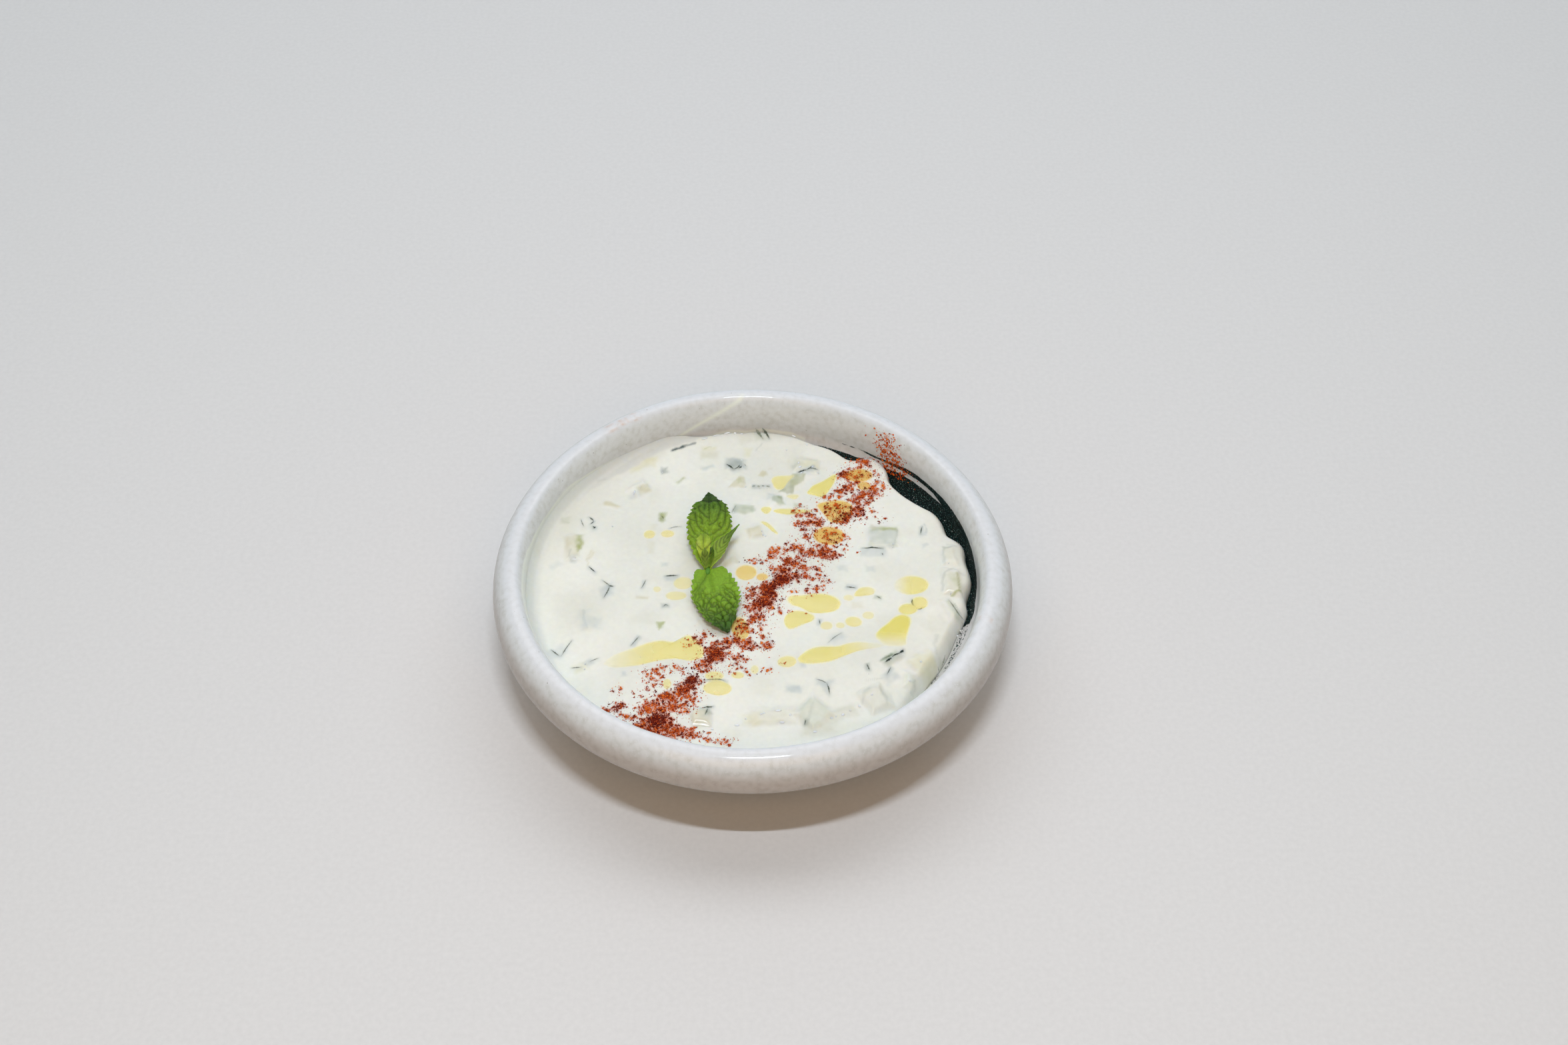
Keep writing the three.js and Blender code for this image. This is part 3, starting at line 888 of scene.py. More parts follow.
    def _marks(self, angle: Array, height: Array, inner: Array) -> dict[str, Array]:
        """Work out what lies on the glaze.

        Args:
            angle: directions in degrees, from -34 upwards.
            height: heights in mm.
            inner: whether each place is on the inside.

        Returns:
            How far each place is inside the brushwork, how dry the brush was there, how much
            smear and stain it carries, how much painted shade darkens it down the outside, and how
            much paler tone, partly a painted highlight, it takes on the crest.
        """
        way = np.where(angle > 180, angle - 360, angle)
        strokes = [self.band, self.outer_stroke, self.dry_tail, self.outer_tail, self.dashes]
        reach = np.max([self._reach(rows, way, height) for rows in strokes], axis=0)
        dry = 0.30 + 0.24 * smooth(-8.6, -9.4, way)
        start = self.smear[0][0]
        table = np.array(self.smear)
        top = np.interp(np.mod(angle - start, 360), table[:, 0] - start, table[:, 1])
        over = height - top - 0.5 * Hills(5, 5).at(angle * 1.2 + 500, height * 0)
        thick = 0.62 + 0.3 * smooth(-1.6, 0, over) * smooth(0.4, 0, over)
        smear = np.where((way > -30) & (way < start), 0, smooth(0.5, -0.3, over) * thick)
        tail = np.array(sorted(self.dry_tail))
        under = np.interp(way, tail[:, 0], tail[:, 1]) - height
        edge = smooth(-0.2, 0.6, under) * smooth(-44, -34, way) * smooth(-7, -10, way)
        smear = np.maximum(smear, 0.9 * edge)
        patchy = 0.5 + 0.5 * Hills(9, 0.7).at(angle * 1.2 + 500, height * 3)
        stain = np.zeros_like(height)
        for at, width, level in self.rim_stains:
            away = ((way - at) / width) ** 2 + ((height - level) / self.stain_height) ** 2
            stain = np.maximum(stain, np.exp(-away) * patchy * 0.5)
        return {
            "brush": np.where(inner, reach, -3.0),
            "dry": dry * inner,
            "film": np.maximum(smear, self._drip(angle, height)) * inner,
            # Painted shade, growing down the outside.
            "below": ~inner * smooth(37.4, 30, height),
            # Paler crest: partly thinner glaze, partly a painted highlight.
            "crest": 0.45 * smooth(36.3, 37.6, height),
            "stain": stain,
        }

    def _drip(self, angle: Array, height: Array) -> Array:
        """Draw the drip, whose cover falls off as a bell from its line and fades at its ends."""
        line = np.array(self.drip_line)
        away = (height - np.interp(angle, line[:, 0], line[:, 1])) / self.drip_width
        reach = np.minimum(angle - line[0, 0], line[-1, 0] + 0.5 - angle)
        return np.exp(-(away**2)) * smooth(-0.5, 1.5, reach)

    def build(self, glaze: bpy.types.Material) -> None:
        """Make the bowl."""
        make_piece("bowl_dressed", self.surface(), glaze, ("bowl",))


# ------------------------------------------------------------------ the dip


class Tone(Enum):
    """Colours that show through or lie on the yoghurt."""

    CREAM = "#DEDED5"
    BRIGHT = "#E6E6DE"
    WHEY = "#D3D2C3"
    TAN = "#CDC8AC"
    OLIVE = "#A8AE74"
    SAGE = "#B4BCA6"
    SLATE = "#B2BCBE"
    GREY = "#9FA69F"
    MOSS = "#6E7D55"
    SAND = "#D9D6B6"
    BAR = "#B3B696"
    FILM = "#D6D6D0"
    TEAL = "#24403F"

    @property
    def rgb(self) -> Array:
        """Give the colour as a linear red, green and blue array."""
        return rgb(self.value)


@dataclass
class Dip:
    """The yoghurt: a wavy top, an uneven rounded edge and an underside that fits the bowl."""

    bowl: Bowl
    level: float = 26.0
    round_width: float = 2.8  # how far in from its edge it starts to round off
    slump: float = 2.8  # how far it has sagged at the front right, mm
    slump_width: float = 15.0  # how far in from the edge that begins, mm
    into_wall: float = 3.2  # how far it goes on into the wall where it clings to it, mm
    grid: int = 282
    skirt: int = 8
    # Its outline where it has drawn back from the wall: direction in degrees and radius.
    outline: Line = (
        (-76, 69.2), (-64, 69.0), (-54, 67.8), (-46, 65.6), (-39, 63.4), (-35, 62.6), (-30.8, 62.3),
        (-26.9, 62.8), (-23.2, 63.2), (-20.2, 63.6), (-15.3, 64), (-12.2, 64.5), (-9.7, 65.6),
        (-7.8, 66.4), (-5.9, 66.9), (-4.6, 66.6), (-2.5, 66.4), (-0.7, 66.9), (1, 67.8),
        (2.8, 68.4), (5.4, 68.4), (7.8, 68.1), (10.4, 68.2), (12.8, 68.8), (14.9, 68.9),
        (16.8, 68.1), (18.4, 66.9), (20.1, 66.4), (22.5, 66.8), (24.9, 67.3), (27.1, 67.3),
        (29.2, 66.9), (31.3, 65.6), (34.2, 64.4), (37, 63.7), (39.8, 63.5), (43.4, 63.7),
        (46.2, 64.7), (47.8, 66.3), (49.5, 67.7), (51.3, 68.5), (53.5, 69), (55.5, 68.7),
        (57.1, 67.9), (58, 66.6), (58.9, 65.6), (60.6, 65), (61.8, 65), (64.4, 65.8), (66.9, 66.4),
        (70.1, 66.6), (72.5, 66.6), (75.9, 67.5), (79, 68.4), (85.2, 69), (91, 69), (92.9, 68.6),
        (96.9, 69), (101.5, 68.6), (107, 68.8), (116, 69.2),
    )
    # Where it thins out to a film up the wall: direction, width, climb, and how clear it is.
    films: Rows = (
        (0, 0, 0, 0), (72, 0, 0, 0.4), (77, 2.4, 0, 0.6), (82, 2.6, 0, 0.6), (87, 1.4, 0, 0.6),
        (90, 0, 0, 0.6), (98, 0, 0, 1), (104, 2.2, 0.1, 1), (109, 3.6, 0.5, 1), (121, 4.6, 1, 1),
        (128, 5, 1.6, 1), (135, 4.4, 2, 0.9), (141, 3.2, 2.6, 0.8), (148, 2.6, 3, 0.6),
        (165, 3, 3.4, 0.4), (190, 3.2, 3.6, 0.4), (212, 2.6, 3, 0.4), (232, 1.6, 2, 0.4),
        (250, 0.8, 1, 0.4), (268, 0, 0, 0), (360, 0, 0, 0),
    )
    # Slow swells left by the spoon: height, direction of travel, wavelength, phase.
    swells: Rows = (
        (0.28, 24, 47, 0.6), (0.2, 102, 34, 2.2), (0.14, 151, 21, 4.1),
    )
    # Dice that lift the surface: middle, length, width, turn in degrees, rise.
    mounds: Rows = (
        (-5.8, 52, 6.5, 5.5, 0, 0.6), (-5.3, 44.2, 5, 4.5, 30, 0.4), (2.1, 42.3, 5.8, 1.6, 0, 0.5),
        (-15.5, 50.5, 5, 1.8, 15, 0.3), (-23.5, 45.2, 4, 2, 35, 0.35),
        (-36.6, 41.3, 6.5, 5.5, 45, 0.8), (-45, 34, 6, 2.2, -20, 0.35),
        (-56.3, 15.3, 4.5, 10.5, 0, 0.7), (-3.2, 32.1, 7, 4.4, 0, 0.5), (0.8, 22, 5.4, 5, 20, 0.7),
        (13.5, 44, 13, 4, 46, 0.6), (17, 52, 7, 6, -10, 0.9), (7, 36, 5, 6, 10, 0.5),
        (41.2, 20, 9.5, 9.5, 4, 0.5), (-7.2, 9.2, 4.5, 3.5, 30, 0.4), (61.6, 11.6, 4.6, 8, 0, 0.9),
        (61.8, 1.3, 5.4, 9.5, 0, 1), (-14.8, -51.5, 5.5, 6.5, 0, 0.9), (6.5, -51, 13, 6, 5, 0.45),
        (18.5, -50, 9, 9, 45, 0.9), (28.2, -49.6, 8, 3, 25, 0.4), (37, -44.8, 8, 8, 30, 1),
        (47.5, -36, 3.5, 4.5, 0, 0.7), (52, -29.5, 9, 7, 35, 0.45), (42.6, -29, 7.5, 3, 42, 0.6),
        (61, -9, 3, 7, 30, 0.6), (-49.5, -14.5, 6, 8, 0, 0.35), (-10.8, -38, 5.5, 1.6, 0, 0.6),
    )
    # What shows through, and two slate patches painted as shadows under skin slivers: middle,
    # half-length, half-width, turn, tone, strength, softness.
    patches: tuple[tuple[float, float, float, float, float, Tone, float, float], ...] = (
        (1.6, 66.5, 1.6, 3, 10, Tone.SAGE, 0.5, 1.2), (-2, 64.6, 3.2, 2.2, 20, Tone.WHEY, 0.7, 1.2),
        (-6, 52.4, 3, 2.2, 0, Tone.SLATE, 0.75, 1.0), (-5.6, 51, 2, 1.4, 20, Tone.GREY, 0.6, 0.8),
        (2.2, 42.2, 2.9, 0.7, 0, Tone.GREY, 0.6, 0.5), (3.2, 48.3, 1, 0.7, 20, Tone.TAN, 0.9, 0.6),
        (5.5, 50.5, 0.6, 0.5, 0, Tone.TAN, 0.6, 0.5),
        (-15.2, 50.6, 2.3, 0.7, 15, Tone.SLATE, 0.8, 0.8),
        (-28.9, 49.5, 1.2, 1.1, 20, Tone.GREY, 0.7, 0.7),
        (-23.7, 45, 1.9, 0.6, 32, Tone.OLIVE, 0.8, 0.6),
        (-35.8, 41.2, 2, 1.5, 30, Tone.TAN, 0.8, 0.8),
        (-38.4, 38.6, 1.8, 1, 30, Tone.SLATE, 0.4, 0.8),
        (-45.2, 34.2, 2.8, 0.8, -24, Tone.TAN, 0.9, 0.8),
        (-29, 29, 1, 1.9, 0, Tone.OLIVE, 0.85, 0.6),
        (-29.2, 27.6, 0.8, 0.8, 0, Tone.MOSS, 0.5, 0.5),
        (-60, 27.4, 1.6, 1.4, 0, Tone.SAGE, 0.4, 1), (-56.9, 15.6, 1.9, 4.2, 8, Tone.TAN, 0.7, 1),
        (-54.6, 17.2, 0.9, 2.6, 0, Tone.OLIVE, 0.85, 0.7),
        (-56, 10.5, 1, 1.6, 0, Tone.SLATE, 0.5, 0.8),
        (-61.7, 8.2, 1.8, 1, 30, Tone.SLATE, 0.35, 0.9),
        (-50.8, 12, 0.5, 1.9, -24, Tone.TAN, 0.7, 0.5),
        (-45, -2.6, 2, 2.6, 10, Tone.SLATE, 0.6, 1.1),
        (-33.6, 0.4, 0.5, 2, -14, Tone.SLATE, 0.5, 0.6),
        # The first patch here is a painted shadow under a skin sliver.
        (-25, 3.1, 2.2, 1, 0, Tone.SLATE, 0.45, 0.8), (-27.4, 9, 1.1, 0.8, 0, Tone.SLATE, 0.6, 0.7),
        (-33.9, -5.1, 1.8, 0.6, 0, Tone.TAN, 0.7, 0.6),
        (-26.6, -8.5, 1.2, 0.8, 0, Tone.GREY, 0.5, 0.6),
        (-27.9, -16.4, 1.1, 1.2, 0, Tone.OLIVE, 0.75, 0.6),
        (-48.9, -15.9, 3, 2.2, 0, Tone.SLATE, 0.5, 1.3),
        (-51.7, -12, 1.4, 1.4, 0, Tone.SLATE, 0.35, 1),
        (-32.1, 15.6, 0.8, 2.6, 0, Tone.TAN, 0.4, 0.8),
        (-31.7, 24.4, 1, 1.2, 0, Tone.TAN, 0.3, 0.7),
        (-34.2, 53.4, 2.2, 1.8, 0, Tone.SAND, 0.9, 1.2),
        (-38, 51, 2.6, 1.4, 30, Tone.SAND, 0.7, 1.2), (-14.5, 56.6, 3, 1.4, 5, Tone.TAN, 0.55, 1),
        (-15, 59.2, 2.4, 0.8, 5, Tone.SAND, 0.7, 0.8),
        (-2.3, 57.8, 1.2, 1.8, 0, Tone.SAND, 0.6, 0.9),
        (-3, 31.8, 3, 1.8, -4, Tone.SAGE, 0.75, 0.6), (-5.4, 32, 1, 1.6, -20, Tone.SLATE, 0.6, 0.6),
        (0.6, 22, 2.4, 2, 20, Tone.TAN, 0.8, 0.9), (-6.2, 17.7, 1.8, 0.8, 10, Tone.SAND, 0.8, 0.8),
        (-7.2, 9.2, 2.2, 1.4, 30, Tone.TAN, 0.75, 0.8),
        (6.4, 37.2, 2, 1.4, -20, Tone.SLATE, 0.6, 0.9),
        (8.6, 36.2, 0.9, 1.8, 10, Tone.SAGE, 0.95, 0.6),
        (17.4, 52.4, 3.6, 1.8, 0, Tone.SAND, 0.55, 1), (14, 52, 1.6, 1, 0, Tone.SLATE, 0.5, 0.8),
        (17.6, 50, 2.8, 1, 20, Tone.SLATE, 0.65, 0.8), (14.4, 34, 1.1, 1, 0, Tone.SAGE, 0.6, 0.6),
        (16.4, 33.5, 1.2, 0.6, 0, Tone.SAGE, 0.5, 0.6),
        (41.2, 19.6, 4.4, 4.2, 0, Tone.SAGE, 0.42, 0.7),
        (41.4, 23.4, 4, 0.9, -4, Tone.OLIVE, 0.55, 0.6),
        # The first patch here is a painted shadow under a skin sliver.
        (38, 13.6, 4, 1.6, 0, Tone.SLATE, 0.5, 0.9), (53.6, 23, 0.9, 2, 10, Tone.SLATE, 0.55, 0.7),
        (54.2, 16.4, 1, 0.6, 30, Tone.SLATE, 0.5, 0.5), (28, 7, 1.4, 1, 0, Tone.SLATE, 0.4, 0.7),
        (36.8, 6.5, 1.2, 1.2, 0, Tone.SLATE, 0.5, 0.8), (61.2, 12.4, 1.4, 3, -6, Tone.WHEY, 0.8, 1),
        (62.2, 1, 2.4, 3.4, 0, Tone.WHEY, 0.9, 1), (62.6, 0.6, 0.9, 2.6, 20, Tone.OLIVE, 0.4, 0.7),
        (62, -9, 0.8, 3.4, 28, Tone.SAGE, 0.6, 0.7), (57, -17, 4, 5, 30, Tone.WHEY, 0.5, 2),
        (31, -0.8, 1.6, 1, 0, Tone.SLATE, 0.5, 0.7), (38.6, -5, 1.2, 0.8, -20, Tone.SAGE, 0.7, 0.5),
        (32.5, -8, 1.6, 1.2, 10, Tone.TAN, 0.35, 0.7), (26, -21, 2.6, 1.4, 40, Tone.SLATE, 0.45, 1),
        (20.7, -15, 0.8, 1.6, 0, Tone.SLATE, 0.6, 0.6), (5, -22, 1, 2, 10, Tone.SLATE, 0.45, 0.8),
        (15.4, -31.6, 0.9, 1.6, 0, Tone.SLATE, 0.5, 0.6),
        (-9.6, -39.6, 2.6, 1.2, 0, Tone.SAGE, 0.7, 0.7),
        (-35.3, -22.7, 0.9, 1.8, -30, Tone.SLATE, 0.6, 0.7),
        (-58.6, -26.8, 3, 2, 30, Tone.SLATE, 0.35, 1.1),
        (-51.2, -32.6, 2, 1.6, 20, Tone.SAND, 0.6, 0.9),
        (-49, -31, 1.4, 1.2, 40, Tone.SLATE, 0.55, 0.8),
        (-38, -35.4, 0.7, 1.2, 0, Tone.SLATE, 0.5, 0.6),
        (-14.4, -52, 2.4, 2.6, 0, Tone.WHEY, 0.9, 0.9),
        (-12.6, -50, 1.2, 1.2, 30, Tone.MOSS, 0.35, 0.6),
        (6.5, -51.4, 6.4, 2.6, 5, Tone.WHEY, 0.6, 1.8), (0, -52, 2.4, 2, 0, Tone.SAND, 0.5, 1),
        (18.5, -50, 4.2, 4.2, 40, Tone.SAGE, 0.26, 1.2),
        (16.2, -53.6, 0.7, 1, 0, Tone.MOSS, 0.5, 0.5), (26, -51, 5, 2, 25, Tone.WHEY, 0.95, 1.2),
        (20, -56, 5, 2.4, 5, Tone.WHEY, 0.9, 1.4), (37, -44.8, 3.6, 3.6, 30, Tone.WHEY, 0.7, 1.2),
        (42, -36, 2.4, 1.8, 30, Tone.SLATE, 0.5, 1), (47.5, -36, 1.4, 1.8, 0, Tone.SAGE, 0.4, 0.9),
        (52, -29.6, 4.2, 2.8, 35, Tone.SAND, 0.5, 1), (48, -42, 5, 4, 40, Tone.WHEY, 0.45, 2),
        (42, -29.4, 3, 1.4, 40, Tone.SAGE, 0.75, 0.8), (35, -33, 0.7, 1.6, 10, Tone.GREY, 0.6, 0.6),
        (41, -34, 0.7, 1.8, -30, Tone.SLATE, 0.7, 0.6),
        (21.8, -39, 2.4, 1.4, -10, Tone.SLATE, 0.5, 0.9),
        (12.4, -41.2, 2.4, 1.4, -8, Tone.SLATE, 0.45, 0.9),
        (58, -28, 0.8, 2.6, 10, Tone.SAGE, 0.6, 0.7), (30, -56, 8, 2.6, 15, Tone.WHEY, 0.4, 2),
    )
    # Pieces with clear outlines: corners, tone, strength, softness.
    shapes: tuple[tuple[Line, Tone, float, float], ...] = (
        (((7.8, 40), (11, 38.8), (12.4, 39.4), (13.6, 42.5), (16.2, 44.6), (17, 48.2),
         (12.6, 48.4), (11.2, 45.2), (10.2, 42)), Tone.BAR, 0.95, 0.35),
        (((8, 40), (11, 38.8), (12.4, 39.6), (13, 42.4), (11, 42)), Tone.GREY, 0.35, 0.7),
        (((-4.4, 47.2), (-2.9, 46.6), (-2.6, 41.8), (-8.2, 41.9), (-6.4, 44.6)), Tone.TAN, 0.85,
         0.4), (((-5.6, 45.4), (-4.2, 46), (-3.6, 44), (-5, 43.6)), Tone.OLIVE, 0.55, 0.5),
        (((1.4, 47.6), (2.8, 50), (3.8, 49.4), (4, 47.8), (3, 46.9)), Tone.TAN, 0.85, 0.4),
        (((-7.2, 30.4), (-6, 33.9), (-4.4, 34.1), (-1.6, 33), (0.8, 32.2), (0.4, 30.6),
         (-3, 30.1)), Tone.SAGE, 0.5, 0.5),
        (((6.4, 37.9), (8.6, 37.4), (9.3, 36.6), (9.4, 34), (8.4, 33.6), (6, 35.8)), Tone.SAGE,
         0.75, 0.4), (((7.6, 37.6), (9, 37.3), (9.2, 36), (8, 36.4)), Tone.MOSS, 0.5, 0.4),
        (((-9.2, 52.6), (-8.8, 54.4), (-6.4, 55.2), (-4.2, 54.6), (-3.6, 52.2), (-4.6, 50),
         (-7, 49.6)), Tone.GREY, 0.6, 0.8),
        (((10.8, 50.4), (11, 55.6), (16, 56.4), (20.4, 54.6), (22.6, 50.6), (17, 49.2),
         (13.4, 49)), Tone.TAN, 0.3, 1.0),
        (((37.6, 25.6), (40, 24), (45.8, 23.2), (45.2, 20), (44.4, 15.6), (43.5, 14.4),
         (41.4, 16.6), (36.8, 18), (36.2, 21), (36.4, 24.6)), Tone.SLATE, 0.3, 0.45),
        (((39.8, 24.2), (45.7, 23.4), (45.4, 22.6), (40, 22.8)), Tone.OLIVE, 0.7, 0.3),
        (((36.6, 24.4), (37.8, 25.8), (39.4, 24.4), (38.2, 23)), Tone.TAN, 0.6, 0.5),
        (((-29.4, 31), (-28.4, 29.6), (-28, 27.4), (-28.8, 26.4), (-30.4, 28.2), (-29.3, 28.9)),
         Tone.OLIVE, 0.9, 0.35),
        (((-48, 35.4), (-46, 35.6), (-44.4, 34.6), (-42.6, 33), (-45.4, 33.6), (-47.8, 34)),
         Tone.TAN, 0.8, 0.5),
        (((-37.4, 40.6), (-36, 43), (-34.6, 43), (-33.4, 41.2), (-35, 39.6)), Tone.TAN, 0.65, 0.6),
        (((-30.3, 50.9), (-28.1, 51.3), (-28.8, 49.8), (-29.8, 48.2), (-30.5, 49.4)), Tone.GREY,
         0.7, 0.4),
        (((-54.4, 18.4), (-53.8, 16), (-54.8, 12.8), (-55.4, 15)), Tone.OLIVE, 0.8, 0.45),
        (((-29.2, -15.2), (-26.5, -15), (-27.3, -16.6), (-28, -18.4), (-28.5, -16.8)), Tone.OLIVE,
         0.85, 0.35),
        (((-2.6, -54), (-0.6, -51.8), (3, -51.6), (7, -49.8), (11, -50.4), (9.4, -53.2),
         (4, -53.6), (0, -55)), Tone.TAN, 0.22, 1.3),
        (((14.4, -48), (17.6, -45.2), (20.4, -46), (22.4, -48.4), (22.2, -52), (19, -55.4),
         (15.4, -54.4), (14.2, -51)), Tone.SAGE, 0.26, 0.7),
        (((-17.4, -51.8), (-16.6, -50.4), (-13.4, -49.6), (-12.6, -52.4), (-11.8, -55),
         (-15.2, -56), (-17, -54.4)), Tone.TAN, 0.55, 0.5),
        (((38.4, -30.8), (40.4, -30.4), (42.8, -28.2), (42, -27.5), (40.2, -28.8)), Tone.MOSS,
         0.75, 0.35),
        (((10, -40.2), (14.8, -39.8), (14.6, -42.8), (11.6, -42.4)), Tone.SLATE, 0.5, 0.5),
        (((20, -38.4), (22.4, -39.6), (23.2, -43.4), (21.4, -42)), Tone.SLATE, 0.6, 0.7),
        (((48.6, -27), (54, -26.4), (56.2, -27.8), (56.4, -31), (52, -34.6), (48.4, -32)),
         Tone.SAND, 0.35, 0.8),
        (((-12.8, -38.2), (-9, -38.3), (-9.4, -40.2), (-12.4, -40)), Tone.SAGE, 0.8, 0.5),
    )
    # Faint lines under the surface: edges of dice, partly painted shade along the sides of the
    # mounds, and ticks of the brushwork by the edge: line, tone, strength, half-width.
    creases: tuple[tuple[Line, Tone, float, float], ...] = (
        (((60, 15.6), (59.9, 12), (60.1, 8.4)), Tone.GREY, 0.28, 0.8),
        (((61.4, 17), (62.8, 16.6), (63.8, 15.8)), Tone.GREY, 0.22, 0.7),
        (((62.2, 6.2), (60, 4.2), (59, 1.4), (58.8, -2.5)), Tone.GREY, 0.32, 0.75),
        (((62.8, 6.4), (64.2, 4.6), (66, 4)), Tone.GREY, 0.22, 0.7),
        (((63.5, 4), (64, 1), (64.2, -1.4)), Tone.OLIVE, 0.5, 0.6),
        (((64.4, -2.2), (62.8, -3.2), (61.4, -4)), Tone.OLIVE, 0.75, 0.7),
        (((62.4, -6.8), (64.4, -10.2), (65.5, -11.8)), Tone.GREY, 0.5, 0.45),
        (((54.4, 25.8), (55.1, 24.2), (54.8, 22)), Tone.SLATE, 0.5, 0.6),
        (((45.8, 23), (45.3, 20), (44.4, 15.6)), Tone.GREY, 0.3, 0.45),
        (((18.2, -47), (17.4, -51), (16.2, -54)), Tone.GREY, 0.2, 0.9),
        (((35, -41), (33.6, -43.4), (33, -46.4)), Tone.GREY, 0.2, 0.9),
        (((38.8, -41.6), (40, -43.6), (40.2, -46)), Tone.GREY, 0.22, 1),
        (((49, -36), (48.8, -38.6), (48, -40)), Tone.GREY, 0.28, 0.8),
        (((-57.2, 14), (-57.4, 11.6), (-56.6, 10)), Tone.GREY, 0.3, 0.6),
        (((-50.4, 14), (-51.6, 12), (-52, 10), (-51.4, 8)), Tone.TAN, 0.45, 0.5),
        (((-61, 29.4), (-61.2, 27.6), (-60, 26.4), (-58.4, 26)), Tone.SAGE, 0.3, 0.5),
        (((-50.6, 45), (-49.4, 45.6), (-48, 46)), Tone.SLATE, 0.6, 0.6),
        (((-51.6, -10.4), (-51.4, -14), (-50, -17.4)), Tone.SLATE, 0.35, 0.6),
        (((56.4, -19), (55.4, -22), (56, -25)), Tone.GREY, 0.25, 1.0),
        (((34, -38), (36.6, -37.4), (39, -37)), Tone.GREY, 0.2, 0.5),
        (((-16.6, 58.8), (-15.4, 59.8), (-13.8, 60.2)), Tone.OLIVE, 0.35, 0.4),
        (((0.6, 59), (1.8, 60.6), (2.6, 62.4)), Tone.GREY, 0.25, 0.4),
        (((-35, 57.6), (-33, 58.6)), Tone.TEAL, 0.9, 0.6),
        (((-26.8, 58.6), (-23.4, 60)), Tone.TEAL, 0.95, 0.9),
        (((-23.4, 60), (-19.6, 61.6)), Tone.TEAL, 0.6, 0.8),
        (((-41.2, 53.7), (-38.8, 54.6)), Tone.TEAL, 0.35, 0.6),
        (((-50.6, 44.5), (-48.4, 45.7)), Tone.TEAL, 0.4, 0.6),
    )

    def edge(self, angle: Array) -> Array:
        """Give the outline's radius in a direction (radians), before the bowl is out of round.

        The table's rows are joined by straight lines round a full turn, then smoothed over
        about two degrees. Elsewhere the dip meets the wall.
        """
        table = np.array(self.outline)
        turn = np.arange(-180, 180, 0.25)
        raw = np.interp(turn, table[:, 0], table[:, 1])
        wide = np.convolve(np.concatenate([raw[-5:], raw, raw[:5]]), bell(11), "valid")
        degrees = (np.degrees(angle) + 180) % 360 - 180
        return np.interp(degrees, turn, wide)

    def film(self, angle: Array) -> tuple[Array, ...]:
        """Give the film's width, how far it climbs and how clear it is, by direction (radians)."""
        turn, *values = np.array(self.films).T
        return tuple(np.interp(np.degrees(angle) % 360, turn, value) for value in values)

    def height(self, x: Array, y: Array) -> Array:
        """Give the height of the top.

        It is the level, plus the swells as sine waves, plus the mounds, each a box whose sides
        are eased, plus small seeded hills.
        """
        x, y = np.asarray(x, dtype=float), np.asarray(y, dtype=float)
        result = np.full(np.broadcast(x, y).shape, self.level)
        for rise, turn, length, phase in self.swells:
            along, _ = turned(x, y, -turn)
            result = result + rise * np.sin(2 * math.pi * along / length + phase)
        warp_x, warp_y = 0.5 * Hills(21, 3).at(x + 300, y + 300), 0.5 * Hills(22, 3).at(x, y + 300)
        for mid_x, mid_y, length, width, turn, rise in self.mounds:
            away = box_distance(x + warp_x, y + warp_y, mid_x, mid_y, length / 2, width / 2, turn)
            result = result + rise * smooth(0.9, -1.5, away)
        for rise, hills in ((0.1, Hills(23, 7)), (0.035, Hills(24, 2.2))):
            result = result + rise * hills.at(x + 500, y + 500)
        turn, out = np.degrees(np.arctan2(y, x)), self._outside(x, y)
        slump = self.slump * smooth(-62, -46, turn) * smooth(3, -12, turn)
        return result - slump * np.clip(1 + out / self.slump_width, 0, 1.2) ** 2

    def _outside(self, x: Array, y: Array) -> Array:
        """Give how far each place is outside the outline, before the bowl is out of round."""
        angle = np.arctan2(y, x)
        return np.hypot(x, y) / out_of_round(angle) - self.edge(angle)

    def tint(self, x: Array, y: Array) -> Array:
        """Colour the top.

        The cream is uneven, and each patch is mixed in by an eased box whose sides are bent by
        seeded hills, as a piece of cucumber looks through a thin coat of yoghurt.

        Returns:
            A linear colour per place.
        """
        hills = (
            Hills(31 + i, size).at(x + 500, y + 500)
            for i, size in enumerate((14, 9, 2.2, 2.2, 1.4, 1.1, 1.1))
        )
        uneven, thin, warp_x, warp_y, blotch, fine_x, fine_y = hills
        colour = blend(Tone.CREAM.rgb, Tone.BRIGHT.rgb, 0.5 + 0.5 * uneven)
        colour = blend(colour, Tone.WHEY.rgb, smooth(0.25, 0.9, thin) * 0.25)
        blotch = 0.75 + 0.25 * blotch
        far_x, far_y = x + 0.55 * warp_x, y + 0.55 * warp_y
        for *box, tone, strength, soft in self.patches:
            away = box_distance(far_x, far_y, *box)
            colour = blend(colour, tone.rgb, strength * blotch * smooth(soft, -soft, away))
        near_x, near_y = x + 0.3 * fine_x, y + 0.3 * fine_y
        for corners, tone, strength, soft in self.shapes:
            away = path_distance(near_x, near_y, corners, closed=True)
            colour = blend(colour, tone.rgb, strength * blotch * smooth(soft, -soft, away))
        # Some of these lines are painted shade along the sides of the mounds.
        for line, tone, strength, half in self.creases:
            away = path_distance(near_x, near_y, line)
            colour = blend(colour, tone.rgb, strength * smooth(half, 0, away))
        width, _, clear = self.film(np.arctan2(y, x))
        out = self._outside(x, y) + width + 0.44 * warp_x
        film = smooth(0.2, 1.2, width) * smooth(-0.6, 0.7, out)
        return blend(colour, Tone.FILM.rgb, 0.95 * clear * film)

